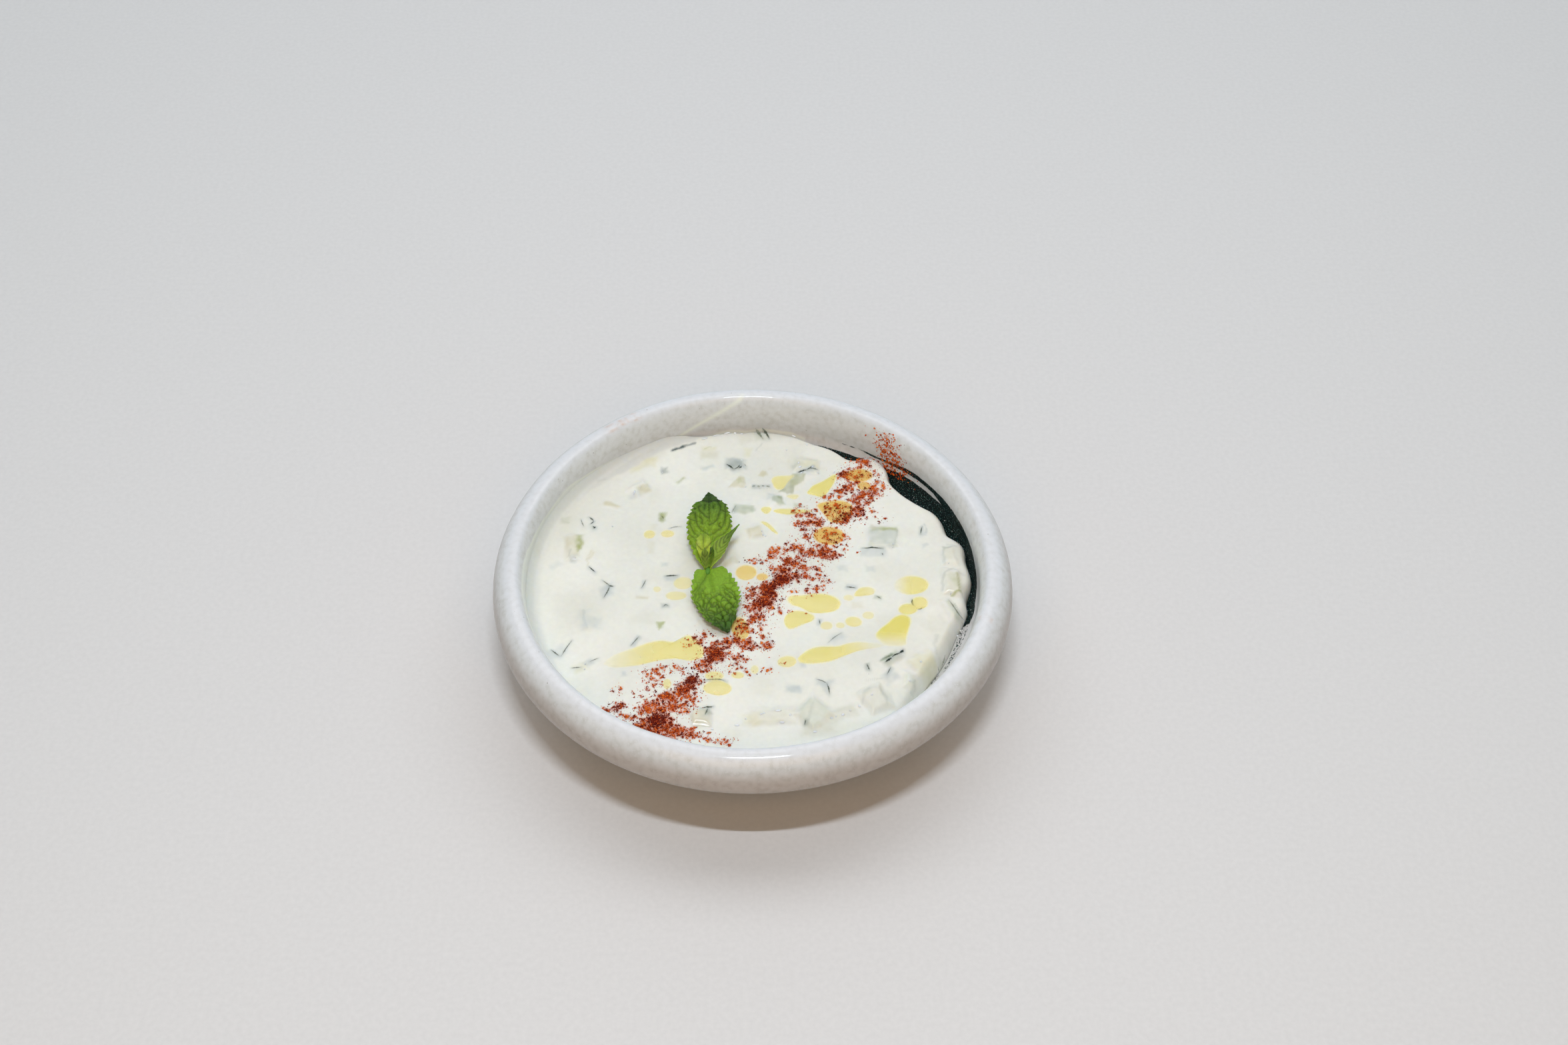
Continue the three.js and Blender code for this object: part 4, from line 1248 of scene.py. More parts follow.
    def surface(self) -> Surface:
        """Spread a square grid over the top, then round its edge off and close the underside.

        A square's rings are carried to circles, ring by ring, and scaled to the outline. The
        edge is a quarter of an ellipse from the top down to the bowl. Where the dip clings to
        the wall it bends up instead and goes on a little way into it.
        """
        side = np.linspace(-1, 1, self.grid)
        a, b = np.meshgrid(side, side, indexing="ij")
        wide = np.abs(a) > np.abs(b)
        ratio_a = np.divide(b, a, out=np.zeros_like(a), where=wide)
        ratio_b = np.divide(a, b, out=np.zeros_like(a), where=~wide & (b != 0))
        share = np.where(wide, a, b)
        angle = np.where(wide, math.pi / 4 * ratio_a, math.pi / 2 - math.pi / 4 * ratio_b)
        angle = np.where(share < 0, angle + math.pi, angle)
        share = np.abs(share)
        reach = share * (self.edge(angle) - self.round_width) * out_of_round(angle)
        x, y = (reach * np.cos(angle)).ravel(), (reach * np.sin(angle)).ravel()
        top = np.column_stack([x, y, self.height(x, y)])
        border = rim_numbers(self.grid, self.grid)
        around = np.arctan2(y[border], x[border])
        edge, size = self.edge(around), out_of_round(around)
        climb = self.film(around)[1]
        cling = smooth(0, 0.8, climb)
        rings = []
        low = self.bowl.inside_height(edge) + 0.15
        level = low

        def add_ring(radius: Array, height: Array) -> None:
            """Add a ring at a radius, before the bowl is out of round, and a height."""
            far = radius * size
            rings.append(np.column_stack([far * np.cos(around), far * np.sin(around), height]))

        for turn in np.linspace(0, math.pi / 2, self.skirt + 1)[1:]:
            part = math.sin(turn)
            radius = edge - self.round_width * (1 - part) + 0.7 * cling * part**2
            high = self.height(radius * size * np.cos(around), radius * size * np.sin(around))
            fall = (high - low) * (1 - math.cos(turn))
            level = high - fall * (1 - cling) + climb * part**3
            add_ring(radius, level)
        for part, drop in ((0.997, 0.0), (0.99, 11.0)):
            floor = self.bowl.inside_height(edge * part) + 0.17
            add_ring(
                edge * part + cling * (self.into_wall + edge * (1 - part)),
                floor * (1 - cling) + (level - drop) * cling,
            )
        for part in (0.92, 0.6):
            add_ring(edge * part, self.bowl.inside_height(edge * part) + 0.2)
        bottom = np.array([[0, 0, self.bowl.inside_height(np.array(0.0)) + 0.2]])
        points = np.vstack([top, *rings, bottom])
        start, ring = self.grid**2, np.arange(len(border))
        last = start + (len(rings) - 1) * len(border)
        faces = [
            grid_faces(self.grid, self.grid, False),
            np.stack([border, start + ring, start + np.roll(ring, -1), np.roll(border, -1)], -1),
            grid_faces(len(rings), len(border), True, start),
            fan_faces(last + ring, len(points) - 1)[:, ::-1],
        ]
        return Surface(points, faces, {"tint": self.tint(points[:, 0], points[:, 1])})

    def build(
        self, yoghurt: bpy.types.Material, skins: CucumberSkins, oil: OliveOil, paprika: Paprika
    ) -> None:
        """Make the dip, with the colour that its dressing lends it."""
        surface = self.surface()
        x, y = surface.points[:, 0], surface.points[:, 1]
        tint = skins.shade(x, y, surface.values["tint"])
        tint = oil.tint(x, y, tint)
        surface.values["tint"] = blend(tint, rgb(paprika.stain_tone), paprika.stain(x, y))
        make_piece("yoghurt_dip", surface, yoghurt, ("dip",))


def box_distance(
    x: Array, y: Array, mid_x: float, mid_y: float, half_x: float, half_y: float, turn: float
) -> Array:
    """Give the distance to a turned rectangle, negative inside it.

    Args:
        x: places, mm.
        y: places, mm.
        mid_x: the rectangle's middle.
        mid_y: the rectangle's middle.
        half_x: half of its length.
        half_y: half of its width.
        turn: its turn in degrees.
    """
    along, across = turned(x - mid_x, y - mid_y, -turn)
    along, across = np.abs(along) - half_x, np.abs(across) - half_y
    outside = np.hypot(np.maximum(along, 0), np.maximum(across, 0))
    return outside + np.minimum(np.maximum(along, across), 0)


# ------------------------------------------------------------------ olive oil


@dataclass(frozen=True)
class Pool:
    """One pool of oil: its outline, how deep its colour is, and where it thins out."""

    outline: Line
    colour: float = 0.6  # 0 pale to 1 deep
    cover: float = 0.9  # how much of the yoghurt it hides
    fade_turn: float = 0.0  # direction in which it thins out, in degrees
    fade: float = 0.0  # how much it thins out there
    warm: float = 0.0  # how much paprika has coloured it


def oval(x: float, y: float, half_x: float, half_y: float, turn: float = 0.0) -> Line:
    """List eight corners of an oval pool."""
    angles = np.radians(np.arange(0, 360, 45))
    along, across = turned(half_x * np.cos(angles), half_y * np.sin(angles), turn)
    return tuple(zip(x + along, y + across))


@dataclass
class OliveOil:
    """The pools and streaks of oil on the dip."""

    dip: Dip
    thin_tone: str = "#F2E9B9"
    deep_tone: str = "#EBE283"
    warm_tone: str = "#ECB44C"
    lens_cover: float = 0.4  # share of the colour that is in the oil, the rest being under it
    rise: float = 0.3  # height of a pool's middle above the yoghurt
    sunk: float = 0.4  # depth of its underside below the yoghurt's top
    rings: int = 9
    spokes: int = 96
    pools: tuple[Pool, ...] = (
        Pool(((5.7, 45), (6.2, 46.6), (7.5, 47.3), (10, 47.4), (13, 47.4), (11, 44), (9.6, 41),
         (8.4, 40.4), (7, 41.4)), 0.45, 0.85, 20, 0.3),
        Pool(((10.6, 37.9), (12.5, 38.9), (14.5, 38.6), (14, 37.2), (12.6, 36.8)), 0.3, 0.6, 90,
         0.5),
        Pool(((17.2, 39.6), (18, 41.4), (19, 42.9), (22.4, 45.1), (25.4, 47.6), (26.9, 47.8),
         (26.3, 45), (25.2, 42.3), (23.1, 38.6), (21.7, 37.7), (19.9, 38.6)), 0.75, 0.95),
        Pool(oval(34, 47, 4.5, 3), 0.85, 0.9, warm=0.6),
        Pool(oval(35.6, 42.2, 2.2, 1.9), 0.8, 0.85, warm=0.6),
        Pool(((20.4, 34.3), (24, 35.7), (28, 35.9), (31.4, 34), (31.5, 30.4), (29, 27.6),
         (26.4, 26.3), (24, 27.5), (22.2, 30.6)), 0.85, 0.92, warm=0.5),
        Pool(oval(24, 21, 4.9, 3.9), 0.8, 0.92, warm=0.6),
        Pool(((2.4, 31.8), (3.2, 32.7), (4.6, 32.8), (5.8, 31.9), (5, 30.3), (4.1, 29.7),
         (2.9, 30.5)), 0.5, 0.85),
        Pool(((6.2, 31.1), (8.7, 32.3), (14.9, 32.4), (18.8, 31.6), (13.7, 30.3), (9.9, 30)), 0.55,
         0.85),
        Pool(((2.4, 26.2), (4, 26.3), (6, 24.6), (7.8, 22), (7.6, 21.5), (6.2, 22.4), (4.6, 24.2)),
         0.55, 0.85), Pool(oval(-2, 5, 3.3, 3.2), 0.55, 0.9, warm=0.3),
        Pool(oval(3, 3, 1.8, 1.5), 0.6, 0.85, warm=0.5),
        Pool(oval(49.2, -0.2, 5.4, 3.8), 0.6, 0.9, 180, 0.75),
        Pool(oval(-32.8, 21.3, 1.8, 1.8), 0.35, 0.8), Pool(oval(-27.1, 21.5, 2.1, 1.5), 0.35, 0.8),
        Pool(oval(-21.5, 1, 3, 2.7), 0.25, 0.6), Pool(oval(-23.5, -4.4, 3.3, 1.9), 0.25, 0.6),
        Pool(oval(-29.5, -1.7, 1.2, 1.2), 0.2, 0.5),
        Pool(((-44.4, -31.2), (-43.6, -29.8), (-41, -27.6), (-36, -25.5), (-31, -23.4),
         (-27, -22.6), (-23, -23.1), (-20.5, -20.7), (-18.6, -20.2), (-16.3, -22), (-14.2, -26.5),
         (-15, -29), (-18.5, -30.1), (-23, -29.4), (-28, -30.4), (-33, -32), (-38, -32.7),
         (-42.5, -32.6)), 0.62, 0.92, 180, 0.7), Pool(oval(-11, -36.4, 2.8, 2), 0.45, 0.8),
        Pool(oval(-10, -41, 4.3, 2.7), 0.45, 0.85), Pool(oval(-4, -35.8, 2, 1.3), 0.35, 0.75),
        Pool(oval(-25, -39.5, 1.2, 2), 0.4, 0.8),
        Pool(oval(-3.6, -17.4, 2.7, 4.6, 14), 0.75, 0.92, warm=0.35),
        Pool(((10.8, -6.4), (12, -4.8), (15, -4.6), (19, -3.6), (23.5, -4), (26.6, -6),
         (27.2, -8.2), (25.4, -10.6), (21.5, -11.5), (17.8, -11.2), (14.6, -9.2), (12, -8.2)), 0.6,
         0.95),
        Pool(((9.8, -14), (11, -11.6), (13.4, -10.5), (16.6, -11), (19, -12.6), (18.4, -14.6),
         (15.8, -15.8), (13.4, -17.2), (11.5, -17.8), (10.2, -16.4)), 0.65, 0.95),
        Pool(((31.4, -4.4), (33, -1.6), (35.6, -0.8), (37.8, -1.8), (37.4, -3.6), (34.6, -4.4)),
         0.4, 0.85, 20, 0.3), Pool(oval(29.7, -5.2, 1.6, 1.2), 0.2, 0.5),
        Pool(oval(51.4, -7.4, 2.6, 2.5), 0.6, 0.9), Pool(oval(47.8, -9.7, 2.9, 2.2), 0.65, 0.9),
        Pool(((37.6, -20.2), (39, -17.6), (41.4, -15.2), (43.6, -12.8), (46, -11.8), (48.1, -12.8),
         (48.4, -15), (47.4, -19), (46.8, -22), (46.6, -24), (43.4, -24.6), (40.4, -24.3),
         (38.8, -22.4)), 1.0, 0.98, -95, 0.75), Pool(oval(31, -14.7, 2.6, 2), 0.35, 0.8),
        Pool(oval(27, -16.3, 1.4, 1.2), 0.25, 0.6), Pool(oval(22.7, -16.6, 1.9, 1.7), 0.25, 0.6),
        Pool(oval(35.6, -12, 1.8, 1.5), 0.2, 0.55), Pool(oval(10.7, -30.8, 2.9, 2.2), 0.35, 0.8),
        Pool(oval(1, -33.5, 1.2, 1.7), 0.25, 0.6),
        Pool(((13.8, -29.8), (16, -27.2), (19, -25.4), (22.6, -25), (26, -24.8), (29.4, -23.4),
         (33.4, -22.8), (38, -23.4), (41, -24.2), (36.4, -25.4), (31.6, -26.8), (27.6, -28.8),
         (23.4, -30.9), (19, -31.8), (15, -31.6)), 0.6, 0.92, 15, 0.8),
    )

    def _outline(self, pool: Pool) -> tuple[Array, Array]:
        """Draw a pool's outline through its corners.

        Each stretch between two corners is a cubic whose ends run along the line between the
        corners on either side. The points are then spaced evenly.

        Returns:
            The pool's middle and the outline's points.
        """
        corners = np.array(pool.outline)
        before, after = np.roll(corners, 1, axis=0), np.roll(corners, -1, axis=0)
        beyond = np.roll(corners, -2, axis=0)
        t = np.linspace(0, 1, 13)[:-1][:, None, None]
        curve = 0.5 * (
            2 * corners + (after - before) * t
            + (2 * before - 5 * corners + 4 * after - beyond) * t**2
            + (3 * corners - before - 3 * after + beyond) * t**3
        )
        curve = curve.transpose(1, 0, 2).reshape(-1, 2)
        loop = np.vstack([curve, curve[:1]])
        length = np.concatenate([[0], np.cumsum(np.hypot(*np.diff(loop, axis=0).T))])
        marks = np.linspace(0, length[-1], self.spokes + 1)[:-1]
        even = np.column_stack([np.interp(marks, length, loop[:, i]) for i in (0, 1)])
        return even.mean(axis=0), even

    def rise_at(self, x: Array, y: Array) -> Array:
        """Give the height of the oil above the yoghurt, 0 where there is none."""
        result = np.zeros(np.shape(x))
        for pool in self.pools:
            middle, rim = self._outline(pool)
            away = rim - middle
            turn = np.arctan2(away[:, 1], away[:, 0])
            order = np.argsort(turn)
            angle = np.arctan2(y - middle[1], x - middle[0])
            radius = np.interp(angle, turn[order], np.hypot(*away.T)[order], period=2 * math.pi)
            share = np.hypot(x - middle[0], y - middle[1]) / radius
            result = np.maximum(result, self._lens(share, np.hypot(*away.T).mean()))
        return result

    def _lens(self, share: Array, radius: float) -> Array:
        """Give a lens's height at a share of the way to its rim, which it meets at a low angle."""
        deep = self.rise * min(max(radius / 3, 0.4), 1)
        return deep * np.clip(1 - share**3, 0, 1)

    def _pool(self, pool: Pool) -> Surface:
        """Build one pool: rings from its middle to its rim on top, and a flat underside."""
        middle, rim = self._outline(pool)
        radius = np.hypot(*(rim - middle).T)
        shares = 1 - (1 - np.linspace(0, 1, self.rings + 1)[1:]) ** 1.7
        x = middle[0] + shares[:, None] * (rim[:, 0] - middle[0])[None, :]
        y = middle[1] + shares[:, None] * (rim[:, 1] - middle[1])[None, :]
        rise = self._lens(shares, radius.mean())[:, None]
        top = np.stack([x, y, self.dip.height(x, y) + rise + 0.02], -1)
        base = middle + 0.6 * (rim - middle)
        under = np.column_stack([base, self.dip.height(*base.T) - self.sunk])
        level = float(self.dip.height(*middle))
        peak = level + float(self._lens(np.array(0.0), radius.mean())) + 0.02
        points = np.vstack([
            top.reshape(-1, 3), under, [[*middle, peak], [*middle, level - self.sunk]],
        ])
        faces = tube_faces(self.rings + 1, self.spokes)
        share = np.concatenate([(shares[:, None] + 0 * radius).ravel(), 1 + 0 * radius, [0, 1]])
        colour, kept = self._depth(pool, points[:, 0], points[:, 1], middle, radius.max())
        cover = self.lens_cover * pool.cover * smooth(1.0, 0.86, share) * kept
        return Surface(points, faces, {"tint": colour, "cover": cover})

    def _depth(
        self, pool: Pool, x: Array, y: Array, middle: Array, reach: float
    ) -> tuple[Array, Array]:
        """Give a pool's colour, and the share of it that is left where it thins out."""
        away, _ = turned(x - middle[0], y - middle[1], -pool.fade_turn)
        thin = pool.fade * smooth(-0.1, 0.95, away / reach)
        cloud = 0.12 * Hills(41, 2.5).at(x + 300, y + 300)
        depth = np.clip(pool.colour + cloud, 0, 1) * (1 - thin)
        colour = blend(rgb(self.thin_tone), rgb(self.deep_tone), depth)
        return blend(colour, rgb(self.warm_tone), np.full(depth.shape, pool.warm)), 1 - thin

    def tint(self, x: Array, y: Array, colour: Array) -> Array:
        """Colour the yoghurt under the pools, with a sharper edge on their near side."""
        for pool in self.pools:
            middle, rim = self._outline(pool)
            away = path_distance(x, y, rim[::3], closed=True)
            up = (y - middle[1]) / (np.ptp(rim[:, 1]) / 2)
            soft = 0.15 + 0.45 * smooth(-0.5, 0.9, up)
            tone, kept = self._depth(pool, x, y, middle, np.hypot(*(rim - middle).T).max())
            colour = blend(colour, tone, pool.cover * kept * smooth(soft, -soft, away))
        return colour

    def build(self, oil: bpy.types.Material) -> None:
        """Make all the pools as one piece."""
        surface = Surface.joined([self._pool(pool) for pool in self.pools])
        make_piece("olive_oil", surface, oil)


# ------------------------------------------------------------------ cucumber


@dataclass
class CucumberSkins:
    """Slivers of dark skin on the dice that break the surface."""

    dip: Dip
    pale_tone: str = "#7C8C6C"
    dark_tone: str = "#1C2A26"
    half_height: float = 0.09
    raggedness: float = 0.35  # how much the width wanders, as a share
    steps: int = 14
    around: int = 8
    # Each sliver: its line, its width in mm and how dark it is.
    slivers: tuple[tuple[Line, float, float], ...] = (
        (((0.3, 69.2), (1.4, 66.9), (2.9, 64.2)), 0.9, 0.5),
        (((2.5, 69.4), (3.8, 67.3), (5, 64.4)), 0.7, 0.8),
        (((-9, 52), (-7.6, 50.6), (-6.6, 49.7)), 0.6, 0.8),
        (((-6.4, 49.7), (-5.2, 50.4), (-4.5, 51.6)), 0.5, 0.7),
        (((-4.9, 50.1), (-3.8, 51)), 0.5, 0.9), (((-3.1, 51.9), (-2.6, 51.4)), 0.4, 0.6),
        (((-0.6, 42.1), (0.5, 42.5)), 0.7, 0.3), (((1.1, 42.3), (2, 42.1)), 0.7, 0.3),
        (((2.6, 42.4), (3.4, 42.3)), 0.7, 0.35), (((4, 42.2), (5.2, 42.1)), 0.7, 0.25),
        (((14.2, 48.9), (15.8, 49.2), (17.2, 49.5)), 0.6, 0.9),
        (((17.2, 49.6), (18.3, 50.4), (19.3, 51.4)), 0.45, 0.8),
        (((17.7, 49.9), (19.3, 50.2), (20.9, 50.1)), 0.45, 0.6),
        (((-26.7, 23.7), (-25, 24.3), (-22.8, 24.5)), 0.35, 0.5),
        (((-54.9, 27.8), (-54.4, 26), (-53.7, 24.3)), 0.4, 0.4),
        (((-52.4, 28.7), (-51.3, 27.6), (-50.7, 26.6)), 0.5, 0.6),
        (((-50.7, 26.6), (-51.2, 25.9), (-51.7, 25.4)), 0.4, 0.8),
        (((-50.9, 24.4), (-50, 23.6)), 0.5, 0.9), (((-50.6, 23.4), (-49.9, 24.2)), 0.4, 0.8),
        (((-51.1, 7.6), (-50.2, 6.6), (-49, 5.4)), 0.45, 0.9),
        (((-46.8, 2.2), (-45.2, 0.6), (-44.2, -0.5)), 0.4, 0.5),
        (((-44.4, -0.4), (-43.6, -0.7), (-43, -0.8)), 0.5, 0.9),
        (((-44.2, -0.7), (-44.7, -3), (-45.8, -5.6)), 0.45, 0.6),
        (((-33.1, 2), (-33.6, 0.4), (-34.4, -1.6)), 0.35, 0.5),
        (((-27.2, 4), (-25.4, 4.3), (-23.3, 4.4)), 0.6, 0.8),
        (((-27.3, -9), (-26.6, -8.1), (-25.7, -8.7)), 0.35, 0.6),
        (((34.4, 15.8), (36.6, 15.6), (39, 15.4), (41, 15.1)), 0.45, 0.85),
        (((53.7, 24.8), (53.3, 23.2), (53, 21.4)), 0.4, 0.7),
        (((40.6, 13.1), (40.8, 12.4)), 0.45, 0.7),
        (((29.1, -0.8), (30.5, -1), (31.9, -1.2)), 0.4, 0.8),
        (((38.4, -4.4), (39.8, -5.4)), 0.5, 0.4),
        (((49.3, -5.8), (49.2, -7.2), (49.7, -8.4)), 0.5, 0.9),
        (((50.6, -10), (51.8, -9.8), (52.4, -8.9)), 0.5, 0.5),
        (((40.2, -31.2), (41.2, -30.3), (42.2, -29.4)), 0.7, 0.95),
        (((42.2, -29.2), (43.2, -28.3), (44.8, -27.5)), 0.5, 0.9),
        (((44.6, -27.6), (45.4, -26.6), (45.8, -25.8)), 0.8, 1.0),
        (((39.2, -29.8), (41, -29), (43, -28)), 0.7, 0.2),
        (((34.7, -31.8), (35, -33), (35.4, -34.2)), 0.5, 0.7),
        (((41.8, -32.6), (41.2, -34), (40.6, -35.4)), 0.4, 0.7),
        (((19.4, -37.6), (21.2, -38.2), (22.6, -39.2)), 0.35, 0.6),
        (((22.6, -39.2), (23.1, -41), (23.3, -43)), 0.4, 0.7),
        (((20.6, -14.2), (20.8, -16)), 0.35, 0.6),
        (((27.4, -19.2), (25, -21.2), (23, -23.6)), 0.3, 0.4),
        (((60.4, -5.8), (62, -8), (63.6, -10.4), (65.2, -12)), 0.6, 0.4),
        (((58.6, -25.6), (58.2, -27.6), (57.4, -29.6)), 0.5, 0.5),
        (((-60.5, -25.8), (-59.2, -27), (-57.9, -28.2)), 0.4, 0.7),
        (((-57.3, -28.2), (-56, -25.2), (-54.4, -22.2)), 0.45, 0.6),
        (((-54, -32.8), (-52.4, -32.6), (-51, -32.4)), 0.4, 0.6),
        (((-48.6, -30.4), (-47.2, -29.6), (-46, -29)), 0.35, 0.5),
        (((-36.6, -24.6), (-35.4, -22.8), (-34.2, -20.9)), 0.4, 0.5),
        (((-13.6, -38.1), (-10.8, -37.9), (-8, -38)), 0.6, 0.7),
        (((-14.6, -49), (-12.8, -48.4), (-11, -47.7)), 0.6, 0.8),
        (((-12.6, -49), (-13, -50.4), (-13.4, -51.6)), 0.5, 0.6),
        (((-6.8, 30.8), (-6.2, 32), (-5.4, 33.6)), 0.3, 0.3),
        (((-28.6, 28), (-28.9, 29), (-29.6, 29.8)), 0.4, 0.4),
        (((56.2, -30.2), (56.6, -31.8)), 0.35, 0.4), (((16.2, -52.8), (15.8, -54.4)), 0.4, 0.6),
    )

    def _sliver(self, line: Line, width: float, dark: float, seed: int) -> Surface:
        """Sweep a flat oval along a line that lies half sunk in the yoghurt.

        The oval narrows to nothing at both ends, and its width wanders a little.
        """
        random = np.random.default_rng(seed)
        share = np.linspace(0, 1, self.steps)
        middle = points_along(line, share)
        middle[1:-1] = (middle[:-2] + 2 * middle[1:-1] + middle[2:]) / 4
        along = np.gradient(middle, axis=0)
        along /= np.linalg.norm(along, axis=1)[:, None]
        side = np.column_stack([-along[:, 1], along[:, 0]])
        taper = np.sqrt(np.clip(np.sin(math.pi * np.clip(share, 0.02, 0.98)), 0, 1))
        ragged = 1 + self.raggedness * random.uniform(-1, 1, self.steps)
        half = width / 2 * taper * ragged
        turn = np.linspace(0, 2 * math.pi, self.around + 1)[:-1]
        across = half[:, None] * np.cos(turn)[None, :]
        x, y = (middle[:, i, None] + across * side[:, i, None] for i in (0, 1))
        z = self.dip.height(x, y) + self.half_height * taper[:, None] * np.sin(turn) + 0.02
        points = np.stack([x, y, z], -1).reshape(-1, 3)
        caps = np.array([points[: self.around].mean(axis=0), points[-self.around :].mean(axis=0)])
        count = len(points)
        shade = blend(rgb(self.pale_tone), rgb(self.dark_tone), np.full(count + 2, dark))
        patchy = 0.8 + 0.5 * random.uniform(0, 1, count + 2)
        seen = smooth(-0.2, 0.9, np.sin(turn))[None, :] * (0.6 + 0.4 * ragged[:, None])
        cover = np.clip(seen * (0.35 + 0.75 * dark**2), 0, 1) * taper[:, None]
        values = {"tint": shade * patchy[:, None],
                  "cover": np.concatenate([cover.ravel(), [0.0, 0.0]])}
        return Surface(
            np.vstack([points, caps]), tube_faces(self.steps, self.around, flipped=True), values
        )

    def shade(self, x: Array, y: Array, colour: Array) -> Array:
        """Darken the yoghurt round the slivers, where they run on under its surface, and paint a
        bluish shadow on it just in front of each, towards -Y.
        """
        for line, width, dark in self.slivers:
            away = path_distance(x, y, line)
            halo = 0.5 * dark * smooth(width / 2 + 0.55, 0, away)
            # A painted shadow, shifted 0.7 mm towards -Y from each sliver.
            below = 0.22 * dark * smooth(width / 2 + 1.3, 0, path_distance(x, y + 0.7, line))
            colour = blend(blend(colour, Tone.GREY.rgb, halo), Tone.SLATE.rgb, below)
        return colour

    def build(self, cucumber: bpy.types.Material) -> None:
        """Make all the slivers as one piece."""
        pieces = [self._sliver(*row, seed=60 + i) for i, row in enumerate(self.slivers)]
        make_piece("cucumber_skins", Surface.joined(pieces), cucumber)


# ------------------------------------------------------------------ painted glints


@dataclass
class PaintedGlints:
    """Painted highlights: low domes on the yoghurt, coloured near white so that they show as
    glints.
    """

    dip: Dip
    # Near white: the painted highlight.
    tone: str = "#FFFFFD"
    around: int = 12
    parts: tuple[float, ...] = (1.0, 0.8, 0.6, 0.4, 0.2)
    # Each glint's dome: middle, half-length, half-width, turn.
    glint_domes: Rows = (
        (-4, -54.4, 0.75, 0.3, 0), (-1.4, -52, 0.3, 0.3, 0), (3.1, -50.7, 0.45, 0.28, 20),
        (3.9, -50.3, 0.3, 0.25, 0), (8.1, -49.4, 1.0, 0.36, 4), (9.2, -53.4, 0.8, 0.3, 0),
        (11.6, -50.8, 0.3, 0.35, 0), (-11.2, -56, 0.36, 0.3, 30), (18.8, -56.9, 0.6, 0.36, 0),
        (23.8, -52, 0.42, 0.34, 20), (25, -51.6, 0.24, 0.24, 0), (27.1, -51, 0.5, 0.36, 20),
        (29.3, -49.6, 0.32, 0.3, 0), (32, -47.8, 0.34, 0.32, 0), (35.8, -44, 0.26, 0.26, 0),
        (47.4, -36.9, 0.3, 0.3, 0), (51, -29.5, 0.36, 0.32, 0), (-15.2, -45.9, 0.65, 0.26, -60),
        (-49.9, -31.2, 0.24, 0.26, 0), (-50, -33.1, 0.26, 0.3, 0), (63.8, -15.9, 0.24, 0.24, 0),
        (62.8, -18, 0.24, 0.24, 0), (44.1, 16.5, 0.2, 0.24, 0), (44, 15.4, 0.2, 0.2, 0),
        (61.2, 8.2, 0.22, 0.22, 0), (61.2, -3.5, 0.24, 0.24, 0), (-36.7, 41.8, 0.26, 0.24, 0),
        (-38.4, 39.4, 0.25, 0.9, -8), (-44.7, 24.6, 0.2, 0.3, 0), (-55.6, 10.6, 0.2, 0.22, 0),
        (-29.6, 48.8, 0.22, 0.22, 0), (-16.4, 63.9, 1.2, 0.24, 24), (-12.6, 65.6, 1.2, 0.24, 18),
        (-9, 66.8, 1.1, 0.28, 22), (-6.4, 66.8, 0.5, 0.4, 0), (-4.2, 66.4, 0.5, 0.3, 15),
        (13, 65.6, 0.9, 0.24, -36), (17.4, 61.4, 0.5, 0.24, -50), (15.4, 56, 0.2, 0.26, 0),
        (14.5, 52.7, 0.3, 0.5, 0), (15, 50.8, 0.5, 0.34, 30), (15.4, 48.5, 0.4, 0.34, 0),
        (19, 51, 0.8, 0.2, 44), (21, 48.7, 0.3, 0.4, 0), (26, 49, 0.7, 0.26, 56),
        (-3.8, 50.6, 0.2, 0.22, 0), (-4, 54, 0.2, 0.22, 0), (10.6, 59.4, 0.2, 0.26, 0),
        (-2.6, 42.2, 0.2, 0.22, 0), (2, 41.6, 0.2, 0.16, 0), (3.4, 41.5, 0.2, 0.16, 0),
        (4.4, 41.6, 0.2, 0.16, 0), (-6.4, 30.6, 0.22, 0.2, 0), (2.8, 22, 0.2, 0.36, 0),
        (3.1, 20.7, 0.2, 0.36, 0), (3.9, 20.4, 0.2, 0.2, 0), (19.2, 10.4, 0.2, 0.22, 0),
        (34.8, -35.6, 0.16, 0.16, 0), (-33.4, -29, 0.16, 0.16, 0),
    )

    def _glint_dome(self, x: float, y: float, half_x: float, half_y: float, turn: float) -> Surface:
        """Build one low dome, painted near white as a highlight, whose height falls off as (1 -
        r^2)^2 from its middle.
        """
        reach_x, reach_y = half_x + 0.05, half_y + 0.05
        rise = 0.5 * reach_y
        around = np.linspace(0, 2 * math.pi, self.around + 1)[:-1]
        part = np.array(self.parts)[:, None]
        across, along = turned(
            part * reach_x * np.cos(around), part * reach_y * np.sin(around), turn
        )
        up = rise * (1 - part**2) ** 2 - 0.06 * (part == 1)
        height = self.dip.height(x + across, y + along) + 0.02 + up
        dome = np.stack([x + across, y + along, height], -1).reshape(-1, 3)
        level = float(self.dip.height(x, y))
        points = np.vstack([dome, [[x, y, level - 0.3], [x, y, level + rise + 0.02]]])
        faces = tube_faces(len(self.parts), self.around, flipped=True)
        return Surface(points, faces, {"tint": np.tile(rgb(self.tone), (len(points), 1))})

    def build(self, yoghurt: bpy.types.Material) -> None:
        """Make all the painted glints as one piece."""
        surface = Surface.joined([self._glint_dome(*row) for row in self.glint_domes])
        make_piece("painted_highlights", surface, yoghurt)


# ------------------------------------------------------------------ paprika


